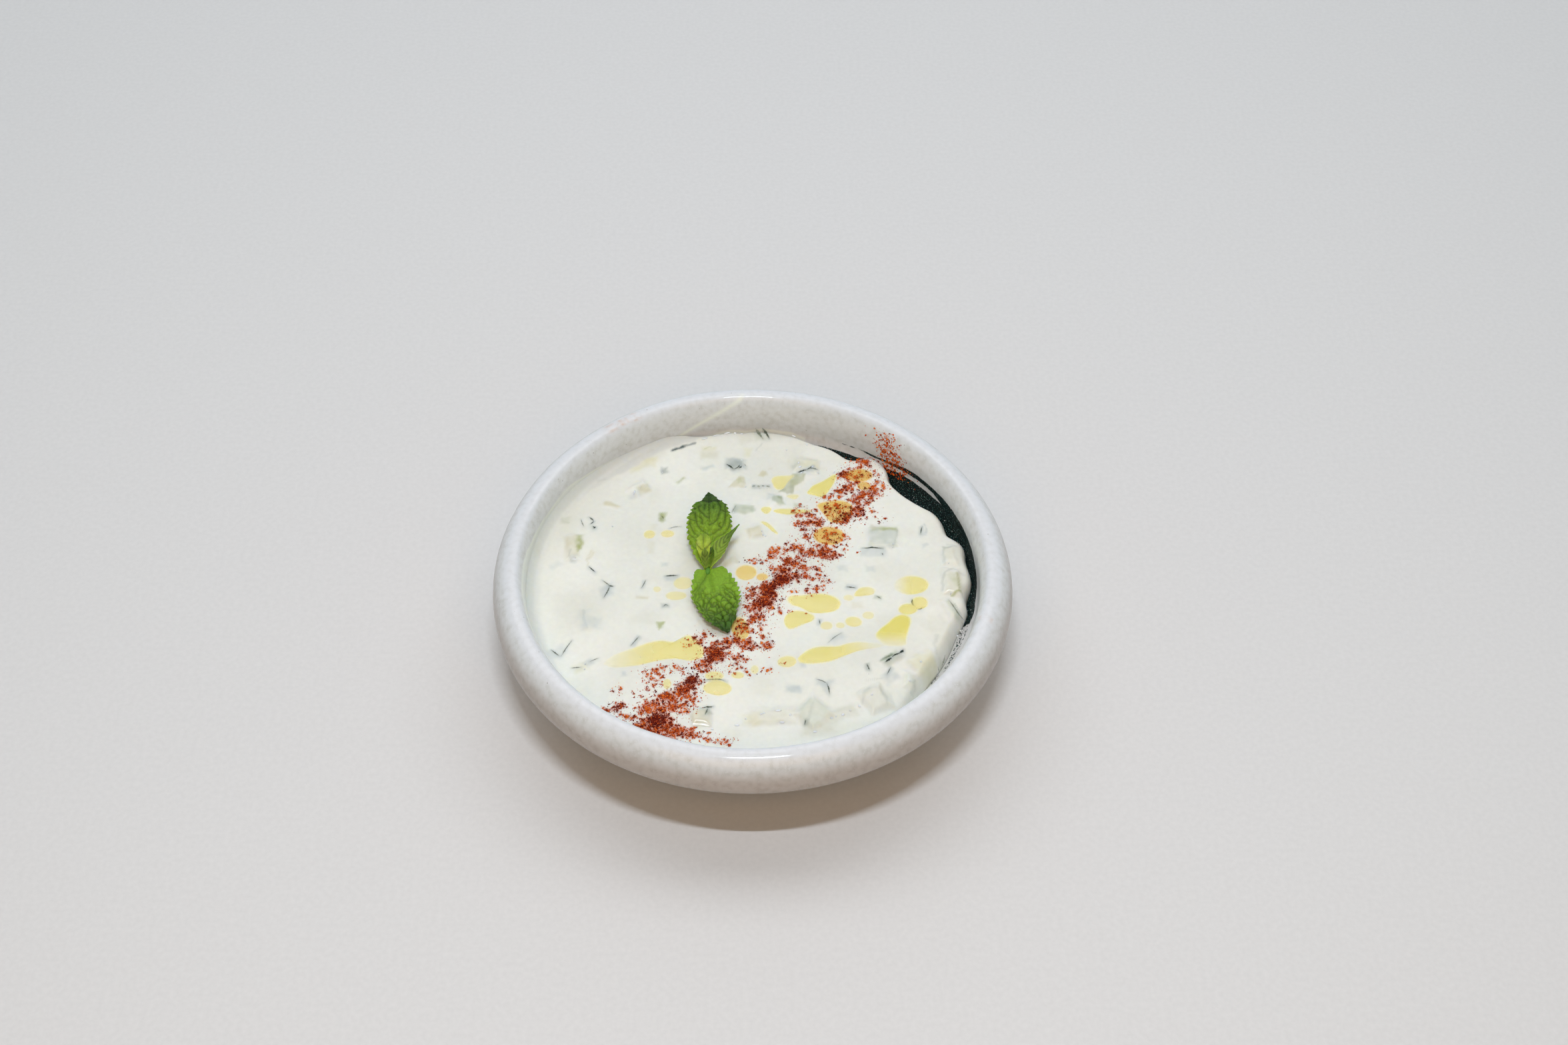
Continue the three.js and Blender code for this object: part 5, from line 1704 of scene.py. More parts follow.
@dataclass
class Paprika:
    """A strip of paprika across the dip, in clusters, with a dusting on the wall behind."""

    dip: Dip
    oil: OliveOil
    light_tone: str = "#F2822E"
    red_tone: str = "#C6501A"
    dark_tone: str = "#64180D"
    stain_tone: str = "#CC5A20"
    # Clusters: middle, half-length, half-width, turn, number of flakes, darkness.
    clusters: Rows = (
        (37, 53.5, 4.5, 1.8, 0, 230, 0.45), (35.5, 48, 4, 2.6, 0, 150, 0.45),
        (29, 47, 2.6, 3, 0, 190, 0.5), (30.5, 42, 4.2, 2.4, 20, 230, 0.5),
        (39.5, 42, 2.6, 3.6, 0, 190, 0.35), (36, 38.4, 4.4, 2.6, 20, 320, 0.6),
        (27, 39, 3.4, 1.6, 30, 80, 0.45), (22, 37, 2, 1.6, 0, 40, 0.4),
        (33, 32.5, 4, 2.4, 40, 330, 0.75), (29, 28.4, 3.4, 2, 30, 260, 0.8),
        (25.5, 31.5, 4, 3.2, 0, 170, 0.55), (38, 30, 2.6, 2, 0, 60, 0.5),
        (17, 30.6, 4, 3, 0, 170, 0.5), (20, 27, 3, 2, 20, 180, 0.6),
        (15.5, 25.4, 3, 2, 0, 130, 0.5), (24, 21.4, 4, 3, 0, 190, 0.5),
        (17.4, 20.6, 2.4, 1.6, 0, 60, 0.5), (29, 20, 2, 3, 0, 40, 0.5),
        (20, 14.6, 6.6, 2.6, 0, 520, 0.6), (24, 12.4, 3, 1.6, 0, 110, 0.5),
        (13.6, 15.6, 2.4, 2, 0, 90, 0.6), (6.6, 13.6, 2.2, 1.8, 20, 170, 0.35),
        (12, 9.4, 4, 1.8, 20, 260, 0.65), (17, 8, 4, 2, -20, 130, 0.5), (9, 6, 3, 1.6, 0, 150, 0.6),
        (1, 9.6, 2.4, 1.4, 0, 60, 0.45), (15.6, 3.6, 4.6, 2, 0, 240, 0.5),
        (22, 1.4, 3, 2.6, 0, 90, 0.45), (8.4, 1.8, 3.2, 2, 20, 360, 0.75),
        (4, -1.6, 3, 2, 20, 360, 0.75), (17, -2.4, 5, 1.8, 0, 90, 0.45),
        (4.4, -6.6, 2.8, 2.4, 0, 340, 0.7), (0.4, -9.4, 2.4, 2, 0, 190, 0.6),
        (7.6, -10.8, 2.4, 1.6, 0, 70, 0.5), (-1, -4, 2, 2.4, 0, 90, 0.55),
        (1.4, -13.4, 3, 1.8, 0, 170, 0.6), (-3.4, -17, 2.4, 3.4, 0, 190, 0.5),
        (3.4, -20, 2.6, 2.6, 0, 90, 0.5), (0, -24, 3.4, 2, 0, 210, 0.6),
        (-7.6, -22.6, 3, 2, 20, 230, 0.6), (5, -25, 2, 1.6, 0, 70, 0.5),
        (-16, -22, 3, 2.4, 0, 150, 0.6), (-11, -27.8, 2.8, 3, 20, 420, 0.75),
        (-4.6, -28.6, 3, 2.4, 0, 150, 0.5), (-3, -34, 3.4, 2, 0, 60, 0.45),
        (-14.6, -32.6, 2.6, 2, 30, 190, 0.6), (-17.4, -38.2, 2.6, 1.6, 20, 260, 0.9),
        (-20, -41.4, 3.4, 1.8, 20, 240, 0.7), (-25, -33.6, 4, 2, 0, 120, 0.45),
        (-30, -35.4, 2.6, 1.6, 0, 90, 0.45), (-29, -39.6, 2.6, 2, 0, 90, 0.5),
        (-24.4, -44.4, 3.6, 2, 20, 300, 0.6), (-18, -45, 3, 2, 0, 110, 0.5),
        (-30, -45.6, 3, 1.8, 0, 150, 0.5), (-37.6, -42, 2.4, 1.6, 0, 40, 0.5),
        (-21.6, -48.4, 4, 2, 0, 260, 0.5), (-30, -49, 4, 1.6, 0, 200, 0.45),
        (-39, -48.2, 2.2, 1.4, 0, 130, 0.7), (-42.6, -48.8, 2, 1.2, 0, 60, 0.45),
        (-36, -51.2, 2.6, 1.2, 0, 60, 0.4), (-27.4, -52.6, 3.4, 2.4, 10, 560, 0.95),
        (-31, -55.6, 4, 1.8, -20, 380, 0.6), (-23.4, -56.4, 4.4, 2.4, -20, 520, 0.6),
        (-17, -57.6, 5, 1.2, -20, 190, 0.35), (-9, -60.4, 5, 0.8, -14, 90, 0.35),
        (-12, -24, 3, 3, 0, 60, 0.5), (8, -32, 3, 4, 0, 30, 0.5),
        (9.6, 1.6, 1.8, 1.2, 25, 260, 0.95), (5.4, -3.4, 1.6, 1.8, 10, 260, 0.95),
        (5, -8, 1.4, 1.2, 0, 120, 0.9), (-11, -27.6, 1.6, 2.2, 20, 150, 0.85),
        (-27.2, -53.4, 2, 1.6, 0, 180, 0.95),
    )
    strip: Line = (
        (37, 53), (30, 35), (19, 16), (9, 3), (1, -13), (-10, -28), (-21, -43), (-27, -55),
    )
    fineness: float = 1.6  # flakes there are for each one that the clusters count
    scatter: float = 0.62  # how far its clumps lie out in a cluster, as a share of its size
    loose_share: float = 0.28  # share of the flakes that lie outside the clumps
    loose_spread: float = 1.3  # how far out those lie, mm
    strip_flakes: int = 1500
    strip_spread: float = 4.4
    tilt: float = 0.25  # how far the flakes lean
    dusting: int = 600  # flakes on the wall
    seed: int = 17
    clump: int = 11  # flakes that lie in a clump
    field_half: float = 77.5  # half of the side of the field that the stain is worked out on, mm
    squares_per_mm: int = 2
    spots: Array = field(init=False)
    darks: Array = field(init=False)
    sizes: Array = field(init=False)

    def __post_init__(self) -> None:
        """Lay the flakes out, since both their shapes and the stain need their places."""
        random = np.random.default_rng(self.seed)
        self.spots, self.darks, factors = self._places(random)
        drawn = random.lognormal(math.log(0.2), 0.45, len(self.spots))
        self.sizes = factors * np.clip(drawn, 0.1, 0.6)

    def stain(self, x: Array, y: Array) -> Array:
        """Give how much the yoghurt is stained.

        It is the flakes' area in squares of half a millimetre, spread by a bell over about
        1.5 mm and read between the squares' middles.
        """
        half, per = self.field_half, self.squares_per_mm
        count = int(2 * half * per)
        cells = np.zeros((count, count))
        row, column = ((self.spots + half) * per).astype(int).T
        np.add.at(cells, (row, column), self.sizes**2)
        for axis in (0, 1):
            cells = np.apply_along_axis(np.convolve, axis, cells, bell(5), "same")
        place_x, place_y = (np.clip((v + half) * per - 0.5, 0, count - 2) for v in (x, y))
        left, low = place_x.astype(int), place_y.astype(int)
        over, up = place_x - left, place_y - low
        near = cells[left, low] * (1 - over) + cells[left + 1, low] * over
        far = cells[left, low + 1] * (1 - over) + cells[left + 1, low + 1] * over
        return 0.85 * smooth(0.15, 0.95, 1 - np.exp(-6 * (near * (1 - up) + far * up)))

    def _places(self, random: np.random.Generator) -> tuple[Array, Array, Array]:
        """Scatter the flakes in clumps over the clusters, and loosely along the strip.

        Returns:
            Places, darkness and a size factor for each flake.
        """
        spots, darks, factors = [], [], []
        for mid_x, mid_y, half_x, half_y, turn, share, dark in self.clusters:
            count = int(share * self.fineness)
            clumps = max(count // self.clump, 2)
            owner = random.integers(0, clumps, count)
            middles = random.normal(0, self.scatter, (clumps, 2)) * [half_x, half_y]
            spread = random.lognormal(math.log(0.3), 0.4, clumps)[owner]
            loose = random.uniform(0, 1, count) < self.loose_share
            spread = np.where(loose, self.loose_spread, spread)
            offset = random.normal(0, 1, (count, 2))
            local = middles[owner] + offset * spread[:, None]
            spots.append([mid_x, mid_y] + np.column_stack(turned(*local.T, turn)))
            own = dark + random.normal(0, 0.2, clumps)[owner]
            darks.append(own + 0.12 * smooth(1.4, 0.3, np.hypot(*offset.T)) - 0.1 * loose)
            factors.append(np.where(loose, 0.8, 1.05))
        share = random.uniform(0, len(self.strip) - 1.001, self.strip_flakes)
        base = points_along(self.strip, share / (len(self.strip) - 1))
        spots.append(base + random.normal(0, self.strip_spread, base.shape) * [1, 0.6])
        darks.append(np.full(self.strip_flakes, 0.45))
        factors.append(np.full(self.strip_flakes, 0.72))
        return np.concatenate(spots), np.concatenate(darks), np.concatenate(factors)

    def _flakes(
        self, middles: Array, upright: Array, sizes: Array, darks: Array,
        random: np.random.Generator,
    ) -> Surface:
        """Make a ragged six-cornered flake at each place.

        Each is an octahedron with its corners pushed in and out, flattened along its upright
        direction and turned at random about it.

        Args:
            middles: where the flakes lie.
            upright: their upright directions, of length 1.
            sizes: their half-lengths.
            darks: how dark each is, 0 to 1.
            random: the source of their unevenness.
        """
        count = len(middles)
        corners = np.array([
            [1, 0, 0], [0, 1, 0], [-1, 0, 0], [0, -1, 0], [0, 0, 1], [0, 0, -1],
        ])
        flat = np.array([1.0, 0.72, 0.42])  # a flake's length, width and height
        shape = corners * flat * random.uniform(0.55, 1.3, (count, 6, 1))
        shape = shape + random.uniform(-0.22, 0.22, (count, 6, 3)) * flat
        shape = shape * sizes[:, None, None]
        turn = random.uniform(0, 2 * math.pi, count)
        seed_axis = np.column_stack([np.cos(turn), np.sin(turn), random.uniform(-0.3, 0.3, count)])
        first = seed_axis - upright * np.sum(seed_axis * upright, axis=1)[:, None]
        first /= np.linalg.norm(first, axis=1)[:, None]
        second = np.cross(upright, first)
        frame = np.stack([first, second, upright], axis=1)
        points = np.einsum("nij,njk->nik", shape, frame) + middles[:, None, :]
        triangles = np.array([
            [0, 1, 4], [1, 2, 4], [2, 3, 4], [3, 0, 4], [1, 0, 5], [2, 1, 5], [3, 2, 5], [0, 3, 5],
        ])
        faces = (triangles[None] + 6 * np.arange(count)[:, None, None]).reshape(-1, 3)
        shade = np.clip(darks + random.normal(0, 0.16, count), 0, 1)
        tint = blend(rgb(self.light_tone), rgb(self.red_tone), smooth(0.05, 0.5, shade))
        tint = blend(tint, rgb(self.dark_tone), smooth(0.5, 0.9, shade))
        return Surface(points.reshape(-1, 3), [faces], {"tint": np.repeat(tint, 6, axis=0)})

    def _on_dip(self, leaves: MintSprig) -> Surface:
        """Scatter flakes over the dip and its oil, clear of the leaves."""
        random = np.random.default_rng(self.seed + 2)
        room = self.dip.edge(np.arctan2(self.spots[:, 1], self.spots[:, 0])) - 1.6
        keep = np.hypot(*self.spots.T) < room
        keep &= ~leaves.covers(self.spots[:, 0], self.spots[:, 1])
        spots, darks, sizes = self.spots[keep], self.darks[keep], self.sizes[keep]
        rise = self.oil.rise_at(spots[:, 0], spots[:, 1])
        height = self.dip.height(spots[:, 0], spots[:, 1]) + rise + 0.12 * sizes
        lean = random.normal(0, self.tilt, (len(spots), 2))
        upright = np.column_stack([lean, np.ones(len(spots))])
        upright /= np.linalg.norm(upright, axis=1)[:, None]
        return self._flakes(np.column_stack([spots, height]), upright, sizes, darks, random)

    def _on_wall(self) -> Surface:
        """Dust the inside wall behind the strip, by direction and height.

        The dusting leans from 49 degrees at the foot of the wall to 52 at the top, and thins out
        upwards.
        """
        random = np.random.default_rng(self.seed + 1)
        height = 22 + 15 * random.power(0.85, self.dusting)
        middle = 49 + 3.4 * smooth(24, 38, height)
        spread = 2.9 - 0.7 * smooth(24, 38, height)
        angle = np.radians(middle + random.normal(0, 1, self.dusting) * spread)
        height = np.minimum(height, 37.4)
        radius = self.dip.bowl.wall_radius(height) * out_of_round(angle)
        steep = smooth(38, 31, height)
        upright = np.column_stack([-np.cos(angle) * steep, -np.sin(angle) * steep, 1.7 - steep])
        upright /= np.linalg.norm(upright, axis=1)[:, None]
        sizes = np.clip(random.lognormal(math.log(0.27), 0.45, self.dusting), 0.12, 0.6)
        middles = np.column_stack([radius * np.cos(angle), radius * np.sin(angle), height])
        middles = middles + upright * (0.15 * sizes)[:, None]
        darks = np.full(self.dusting, 0.42)
        return self._flakes(middles, upright, sizes, darks, random)

    def build(self, paprika: bpy.types.Material, leaves: MintSprig) -> None:
        """Make the flakes as one piece."""
        surface = Surface.joined([self._on_dip(leaves), self._on_wall()])
        make_piece("paprika_flakes", surface, paprika)


# ------------------------------------------------------------------ the mint


@dataclass(frozen=True)
class Leaf:
    """One leaf by its midrib (places and rise above the dip) and its width on either side."""

    base: Place
    bend: Place
    tip: Place
    left: tuple[float, ...]  # half-widths, mm, at even steps, on the left seen from base to tip
    right: tuple[float, ...]
    lift: float  # how far its sides rise
    teeth: int
    low_tone: str  # colour at the base
    high_tone: str  # colour at the tip
    rows: int
    columns: int
    veins: tuple[Line, ...] = ()  # side veins as share of the length and of the half-width
    vein_pairs: int = 0  # or so many plain pairs of them
    quilt: float = 0.14  # height of the bulges between the veins, mm
    cell: float = 0.0  # width of the small cells, mm, 0 for none
    cell_line: float = 0.0  # how dark the lines between them are painted, as shade
    cell_rise: float = 0.0  # how far they bulge, as a share of the quilt
    margin: float = 1.3  # brightness of its thin edge
    cell_from: float = 0.0  # share of the length where the cells begin
    darkening: float = 0.35  # share of the length where it begins to darken
    droop: float = 0.0  # how far the tip hangs, mm
    heart: float = 0.0  # how far the lobes reach behind the base, mm
    fold: float = 1.0  # share of the length beyond which the tip is painted darker, as the shade of a fold


@dataclass
class MintSprig:
    """Two large mint leaves, a whorl of small ones between them and the end of the stem."""

    dip: Dip
    thickness: float = 0.42
    stem_tone: str = "#55842A"
    tooth_depth: float = 0.13  # as a share of the half-width
    leaves: tuple[Leaf, ...] = (
        Leaf(
            base=(-14, 4.4, 1.7), bend=(-13.2, 20, 6.4), tip=(-14.4, 35.9, 4.3),
            left=(0.8, 1.4, 2.1, 2.8, 3.5, 4.1, 4.7, 5.0, 5.2, 5.6, 5.9, 6.2, 6.5, 6.8, 7.0, 7.1,
                  7.1, 7.2, 7.3, 7.3, 7.3, 7.2, 7.1, 7.1, 7.2, 6.9, 6.5, 6.2, 5.9, 5.7, 5.5, 5.3,
                  4.8, 3.2, 2.2, 1.8, 1.5, 1.2, 0.9, 0.5, 0.1),
            right=(0.9, 1.4, 2.0, 2.6, 3.1, 3.6, 4.1, 4.5, 4.8, 5.2, 5.5, 5.8, 6.1, 6.4, 6.6, 6.8,
                   7.0, 7.2, 7.3, 7.4, 7.4, 7.4, 7.3, 7.3, 7.2, 7.0, 6.7, 6.5, 6.3, 6.1, 6.0, 5.8,
                   5.2, 4.2, 3.2, 2.7, 2.2, 1.7, 1.2, 0.7, 0.1),
            lift=0.9, teeth=17, low_tone="#7F9E22", high_tone="#3E651E", rows=180, columns=92,
            quilt=0.4, cell=1.9, cell_line=0.25, cell_rise=0.4, cell_from=0.1, darkening=0.35,
            droop=0.5, fold=0.835,
            veins=(
                ((0.53, 0.02), (0.55, 0.18), (0.58, 0.3), (0.61, 0.37), (0.67, 0.48),
                 (0.72, 0.57), (0.76, 0.6), (0.8, 0.6), (0.83, 0.69)),
                ((0.4, 0.05), (0.42, 0.21), (0.45, 0.33), (0.48, 0.5), (0.52, 0.6), (0.57, 0.66),
                 (0.62, 0.72), (0.67, 0.78), (0.72, 0.8), (0.77, 0.89), (0.8, 0.91)),
                ((0.49, 0.5), (0.5, 0.42), (0.52, 0.4), (0.54, 0.44)),
                ((0.3, 0.1), (0.36, 0.3), (0.39, 0.45), (0.4, 0.63), (0.45, 0.75), (0.47, 0.81),
                 (0.51, 0.86), (0.54, 0.89), (0.59, 0.92)),
                ((0.62, -0.03), (0.64, -0.21), (0.67, -0.31), (0.7, -0.48), (0.74, -0.6),
                 (0.77, -0.62), (0.78, -0.49)),
                ((0.4, -0.03), (0.42, -0.15), (0.44, -0.24), (0.47, -0.38), (0.51, -0.49),
                 (0.55, -0.57), (0.6, -0.58), (0.64, -0.66), (0.67, -0.7)),
                ((0.53, -0.29), (0.55, -0.33), (0.59, -0.31), (0.62, -0.41)),
                ((0.3, -0.1), (0.34, -0.29), (0.38, -0.46), (0.41, -0.63), (0.45, -0.71),
                 (0.49, -0.79), (0.52, -0.84), (0.55, -0.85)),
                ((0.25, -0.2), (0.29, -0.41), (0.33, -0.58), (0.36, -0.7), (0.39, -0.85),
                 (0.42, -0.9), (0.44, -0.94)),
                ((0.15, -0.15), (0.19, -0.33), (0.23, -0.54), (0.25, -0.78), (0.29, -0.9),
                 (0.34, -0.92)),
                ((0.67, -0.7), (0.67, -0.8), (0.65, -0.91)), ((0.58, -0.83), (0.57, -0.69),
                 (0.58, -0.59)), ((0.51, -0.94), (0.52, -0.84)), ((0.73, -0.76), (0.73, -0.88)),
                ((0.73, -0.26), (0.77, -0.28), (0.8, -0.25)), ((0.75, 0.21), (0.78, 0.25)),
                ((0.71, 0.57), (0.7, 0.68), (0.68, 0.78), (0.68, 0.94)),
                ((0.2, 0.2), (0.26, 0.5), (0.3, 0.75), (0.36, 0.9)),
            ),
        ),
        Leaf(
            base=(-13.7, 4.4, 1.7), bend=(-11.4, -9, 3.4), tip=(-7, -20, 1),
            left=(4.4, 5.5, 6.2, 7.0, 7.4, 7.7, 7.9, 8.0, 8.1, 8.0, 8.0, 7.5, 7.1, 6.4, 5.6, 4.8,
                  4.4, 3.8, 2.4, 1.2, 0.3),
            right=(3.4, 4.7, 5.0, 5.9, 6.3, 6.6, 7.1, 7.3, 7.5, 7.6, 7.1, 6.9, 6.9, 6.3, 6.0, 5.9,
                   5.0, 4.2, 2.9, 1.8, 0.3),
            lift=0.5, teeth=13, low_tone="#769A26", high_tone="#38591C", rows=160, columns=104,
            quilt=0.36, cell=2.1, cell_line=0.75, cell_rise=0.7, cell_from=0.28, darkening=0.42,
            heart=0.9,
            veins=(
                ((0.05, 0.07), (0.09, 0.22), (0.16, 0.35), (0.2, 0.47), (0.24, 0.58), (0.28, 0.62),
                 (0.33, 0.73), (0.38, 0.83), (0.41, 0.92)),
                ((0.42, -0.05), (0.44, 0.06), (0.47, 0.26), (0.5, 0.34), (0.54, 0.47),
                 (0.58, 0.55), (0.63, 0.6), (0.69, 0.69), (0.75, 0.6), (0.78, 0.67)),
                ((0.38, 0.38), (0.44, 0.34), (0.46, 0.25)),
                ((0.47, 0.83), (0.52, 0.79), (0.56, 0.8), (0.6, 0.74), (0.63, 0.78)),
                ((0.32, -0.37), (0.35, -0.45), (0.4, -0.53), (0.44, -0.62), (0.48, -0.67),
                 (0.52, -0.73), (0.56, -0.76)),
                ((0.4, -0.08), (0.42, -0.17), (0.45, -0.27), (0.49, -0.32), (0.52, -0.39),
                 (0.57, -0.45), (0.6, -0.52), (0.64, -0.63), (0.68, -0.7)),
                ((0.42, -0.38), (0.45, -0.48), (0.48, -0.52), (0.51, -0.52)),
                ((0.61, -0.01), (0.63, -0.15), (0.67, -0.22), (0.71, -0.31), (0.75, -0.45),
                 (0.79, -0.5), (0.84, -0.42)),
                ((0.76, -0.54), (0.79, -0.7), (0.83, -0.84)),
                ((0.78, 0.67), (0.8, 0.43), (0.86, 0.44), (0.93, 0.57), (0.98, 0.67)),
                ((0.67, 0.55), (0.68, 0.41), (0.7, 0.33), (0.72, 0.25), (0.7, 0.16), (0.7, 0.07)),
                ((0.5, 0.34), (0.55, 0.26), (0.59, 0.23), (0.58, 0.09), (0.57, 0.01)),
                ((0.29, 0.45), (0.33, 0.51), (0.36, 0.64)), ((0.45, 0.5), (0.52, 0.58),
                 (0.56, 0.67)), ((0.36, 0.62), (0.41, 0.62), (0.44, 0.73)),
            ),
        ),
        Leaf(
            base=(-13.4, 5.2, 2.4), bend=(-10.6, 11, 5.4), tip=(-4.2, 18.2, 8),
            left=(0.6, 1.3, 2.1, 2.7, 2.9, 2.7, 2.1, 1.3, 0.7, 0.4, 0.1),
            right=(0.6, 1.2, 1.8, 2.2, 2.3, 2.1, 1.7, 1.2, 0.7, 0.4, 0.1),
            lift=0.5, teeth=8, low_tone="#8DA838", high_tone="#6F9430", rows=80, columns=40,
            vein_pairs=6, quilt=0.22, margin=2.2,
        ),
        Leaf(
            # Its margin below 1 darkens its edge as a painted shadow.
            base=(-14, 5, 2.6), bend=(-15.8, 8, 8), tip=(-15, 13.2, 9),
            left=(0.4, 0.7, 1.1, 1.5, 1.9, 2.2, 2.4, 2.4, 2.2, 1.5, 0.5),
            right=(0.4, 0.7, 1.1, 1.5, 1.9, 2.2, 2.4, 2.5, 2.4, 1.8, 0.6),
            lift=0.4, teeth=6, low_tone="#A9BE3E", high_tone="#7C962A", rows=64, columns=36,
            vein_pairs=2, darkening=0.5, quilt=0.2, margin=0.55,
        ),
        Leaf(
            base=(-13.5, 5, 2.8), bend=(-13.6, 7.2, 5.6), tip=(-12.4, 9.6, 6.8),
            left=(0.4, 0.8, 1.2, 1.4, 1.1, 0.1), right=(0.4, 0.8, 1.2, 1.4, 1.1, 0.1),
            lift=0.7, teeth=4, low_tone="#6C8C26", high_tone="#4C701E", rows=44, columns=22,
            vein_pairs=4,
        ),
        Leaf(
            base=(-14.3, 4.6, 2.6), bend=(-14.9, 5.8, 5.6), tip=(-14.7, 8.4, 7.8),
            left=(0.5, 0.9, 1.2, 1.3, 1.0, 0.1), right=(0.5, 0.9, 1.2, 1.3, 1.0, 0.1),
            lift=0.5, teeth=3, low_tone="#7C9434", high_tone="#8CA63E", rows=40, columns=24,
            vein_pairs=3, darkening=1.0, margin=3.2,
        ),
    )

    def _midrib(self, leaf: Leaf, share: Array) -> Array:
        """Follow a leaf's midrib, a quadratic curve over the dip's level, with a hanging tip."""
        base, bend, tip = np.array([leaf.base, leaf.bend, leaf.tip]) + [0, 0, self.dip.level]
        share = np.asarray(share)[..., None]
        line = (1 - share) ** 2 * base + 2 * share * (1 - share) * bend + share**2 * tip
        line[..., 2] -= leaf.droop * smooth(0.86, 1.0, share[..., 0])
        return line

    def covers(self, x: Array, y: Array) -> Array:
        """Tell whether each place lies under the two large leaves."""
        result = np.zeros(np.shape(x), dtype=bool)
        for leaf in self.leaves[:2]:
            for share in np.linspace(0, 1, 25):
                middle = self._midrib(leaf, np.array(share))
                half = min(self._half(leaf.left, share), self._half(leaf.right, share))
                result |= np.hypot(x - middle[0], y - middle[1]) < 0.9 * half
        return result

    @staticmethod
    def _half(widths: tuple[float, ...], share: Array) -> Array:
        """Give the half-width at a share of the length, eased between the steps."""
        step = np.linspace(0, 1, len(widths))
        fine = np.linspace(0, 1, 161)
        wide = np.pad(np.interp(fine, step, widths), 3, mode="edge")
        return np.interp(share, fine, np.convolve(wide, bell(7), "valid"))

    def _vein_distance(self, leaf: Leaf, along: Array, reach: Array, length: float) -> Array:
        """Measure how far each place is from the nearest side vein, in mm on the flat leaf.

        Args:
            leaf: the leaf.
            along: distance from the base.
            reach: distance from the midrib, negative on the left.
            length: the leaf's length.
        """
        lines = list(leaf.veins)
        for i in range(leaf.vein_pairs):
            start = 0.12 + 0.68 * i / leaf.vein_pairs
            for way in (-1, 1):
                lines.append(tuple((start + 0.24 * t**1.5, way * t) for t in (0, 0.35, 0.7, 0.95)))
        nearest = np.full(along.shape, 9.0)
        for line in lines:
            shares, sides = np.array(line).T
            halves = np.where(sides < 0, self._half(leaf.left, shares),
                              self._half(leaf.right, shares))
            path = np.column_stack([shares * length, sides * halves])
            nearest = np.minimum(nearest, path_distance(along, reach, path))
        return nearest

    def _leaf(self, leaf: Leaf) -> Surface:
        """Build one leaf as a thin closed sheet.

        Rows cross the midrib and columns run beside it. The margin is cut into teeth that lean
        to the tip, the sides lift by the square of the distance from the midrib, and the sheet
        is sunk along its veins and bulges between them.
        """
        share = np.linspace(0, 1, leaf.rows)[:, None]
        side = np.linspace(-1, 1, leaf.columns)[None, :]
        line = self._midrib(leaf, share[:, 0])
        along = np.gradient(line, axis=0)
        along /= np.linalg.norm(along, axis=1)[:, None]
        across = np.cross(along, [0, 0, 1.0])
        across /= np.linalg.norm(across, axis=1)[:, None]
        length = float(np.linalg.norm(np.diff(line, axis=0), axis=1).sum())
        half = np.where(side < 0, self._half(leaf.left, share), self._half(leaf.right, share))
        bite = (share * leaf.teeth + 0.12 * np.sin(9 * share) + 0.3 * (side < 0)) % 1
        cut = self.tooth_depth * bite**1.6 * np.abs(side) ** 5
        reach = side * half * (1 - cut * smooth(0, 0.12, share) * smooth(1, 0.93, share))
        distance = self._vein_distance(leaf, share * length + 0 * side, reach, length)
        groove = 0.75 * np.exp(-((distance / 0.2) ** 2)) + 0.25 * np.exp(-((distance / 0.5) ** 2))
        rib = np.exp(-((np.abs(reach) / 0.22) ** 2)) * smooth(1, 0.8, share)
        bulge = smooth(0.1, 1.5, np.minimum(distance, np.abs(reach) + 0.2))
        if leaf.cell:
            warp = 0.5 * Hills(71, 1.8).at(share * length + 100, reach + 100)
            edges = cell_edges(share * length + warp + 60, reach + warp + 90, leaf.cell, 73)
            there = smooth(leaf.cell_from, leaf.cell_from + 0.22, share + 0.3 * np.abs(side))
            fine = smooth(0.4, 0.05, edges) * there
            bulge = bulge + there * leaf.cell_rise * (smooth(0, 0.9, edges) - 0.4)
            groove = np.maximum(groove, leaf.cell_line * fine)
        wave = 0.25 * side * np.sin(2.5 * math.pi * share + side) * (half / 8)
        lift = leaf.lift * side**2 * np.sin(math.pi * share) + wave
        back = leaf.heart * smooth(0.25, 0.0, share) * np.abs(side) ** 1.5
        middle = line[:, None, :] + across[:, None, :] * reach[..., None]
        middle = middle - along[:, None, :] * back[..., None]
        middle[..., 2] += lift + leaf.quilt * (bulge - 0.5 * groove - 0.4 * rib)
        thin = self.thickness / 2 * (0.3 + 0.7 * smooth(1.0, 0.86, np.abs(side)))
        up = (thin + 0 * share)[..., None] * [0, 0, 1]
        points = np.vstack([(middle + up).reshape(-1, 3), (middle - up).reshape(-1, 3)])
        top = grid_faces(leaf.rows, leaf.columns, False)
        rim, below = rim_numbers(leaf.rows, leaf.columns), leaf.rows * leaf.columns
        after = np.roll(rim, -1)
        wall = np.stack([rim, rim + below, after + below, after], -1)
        faces = [top[:, ::-1], top + below, wall[:, ::-1]]
        tint = self._colour(leaf, share + 0 * side, side + 0 * share, groove, rib, bulge)
        # The underside is a darker copy of the top, as painted shade.
        return Surface(points, faces, {"tint": np.vstack([tint, tint * 0.8 + 0.02])})

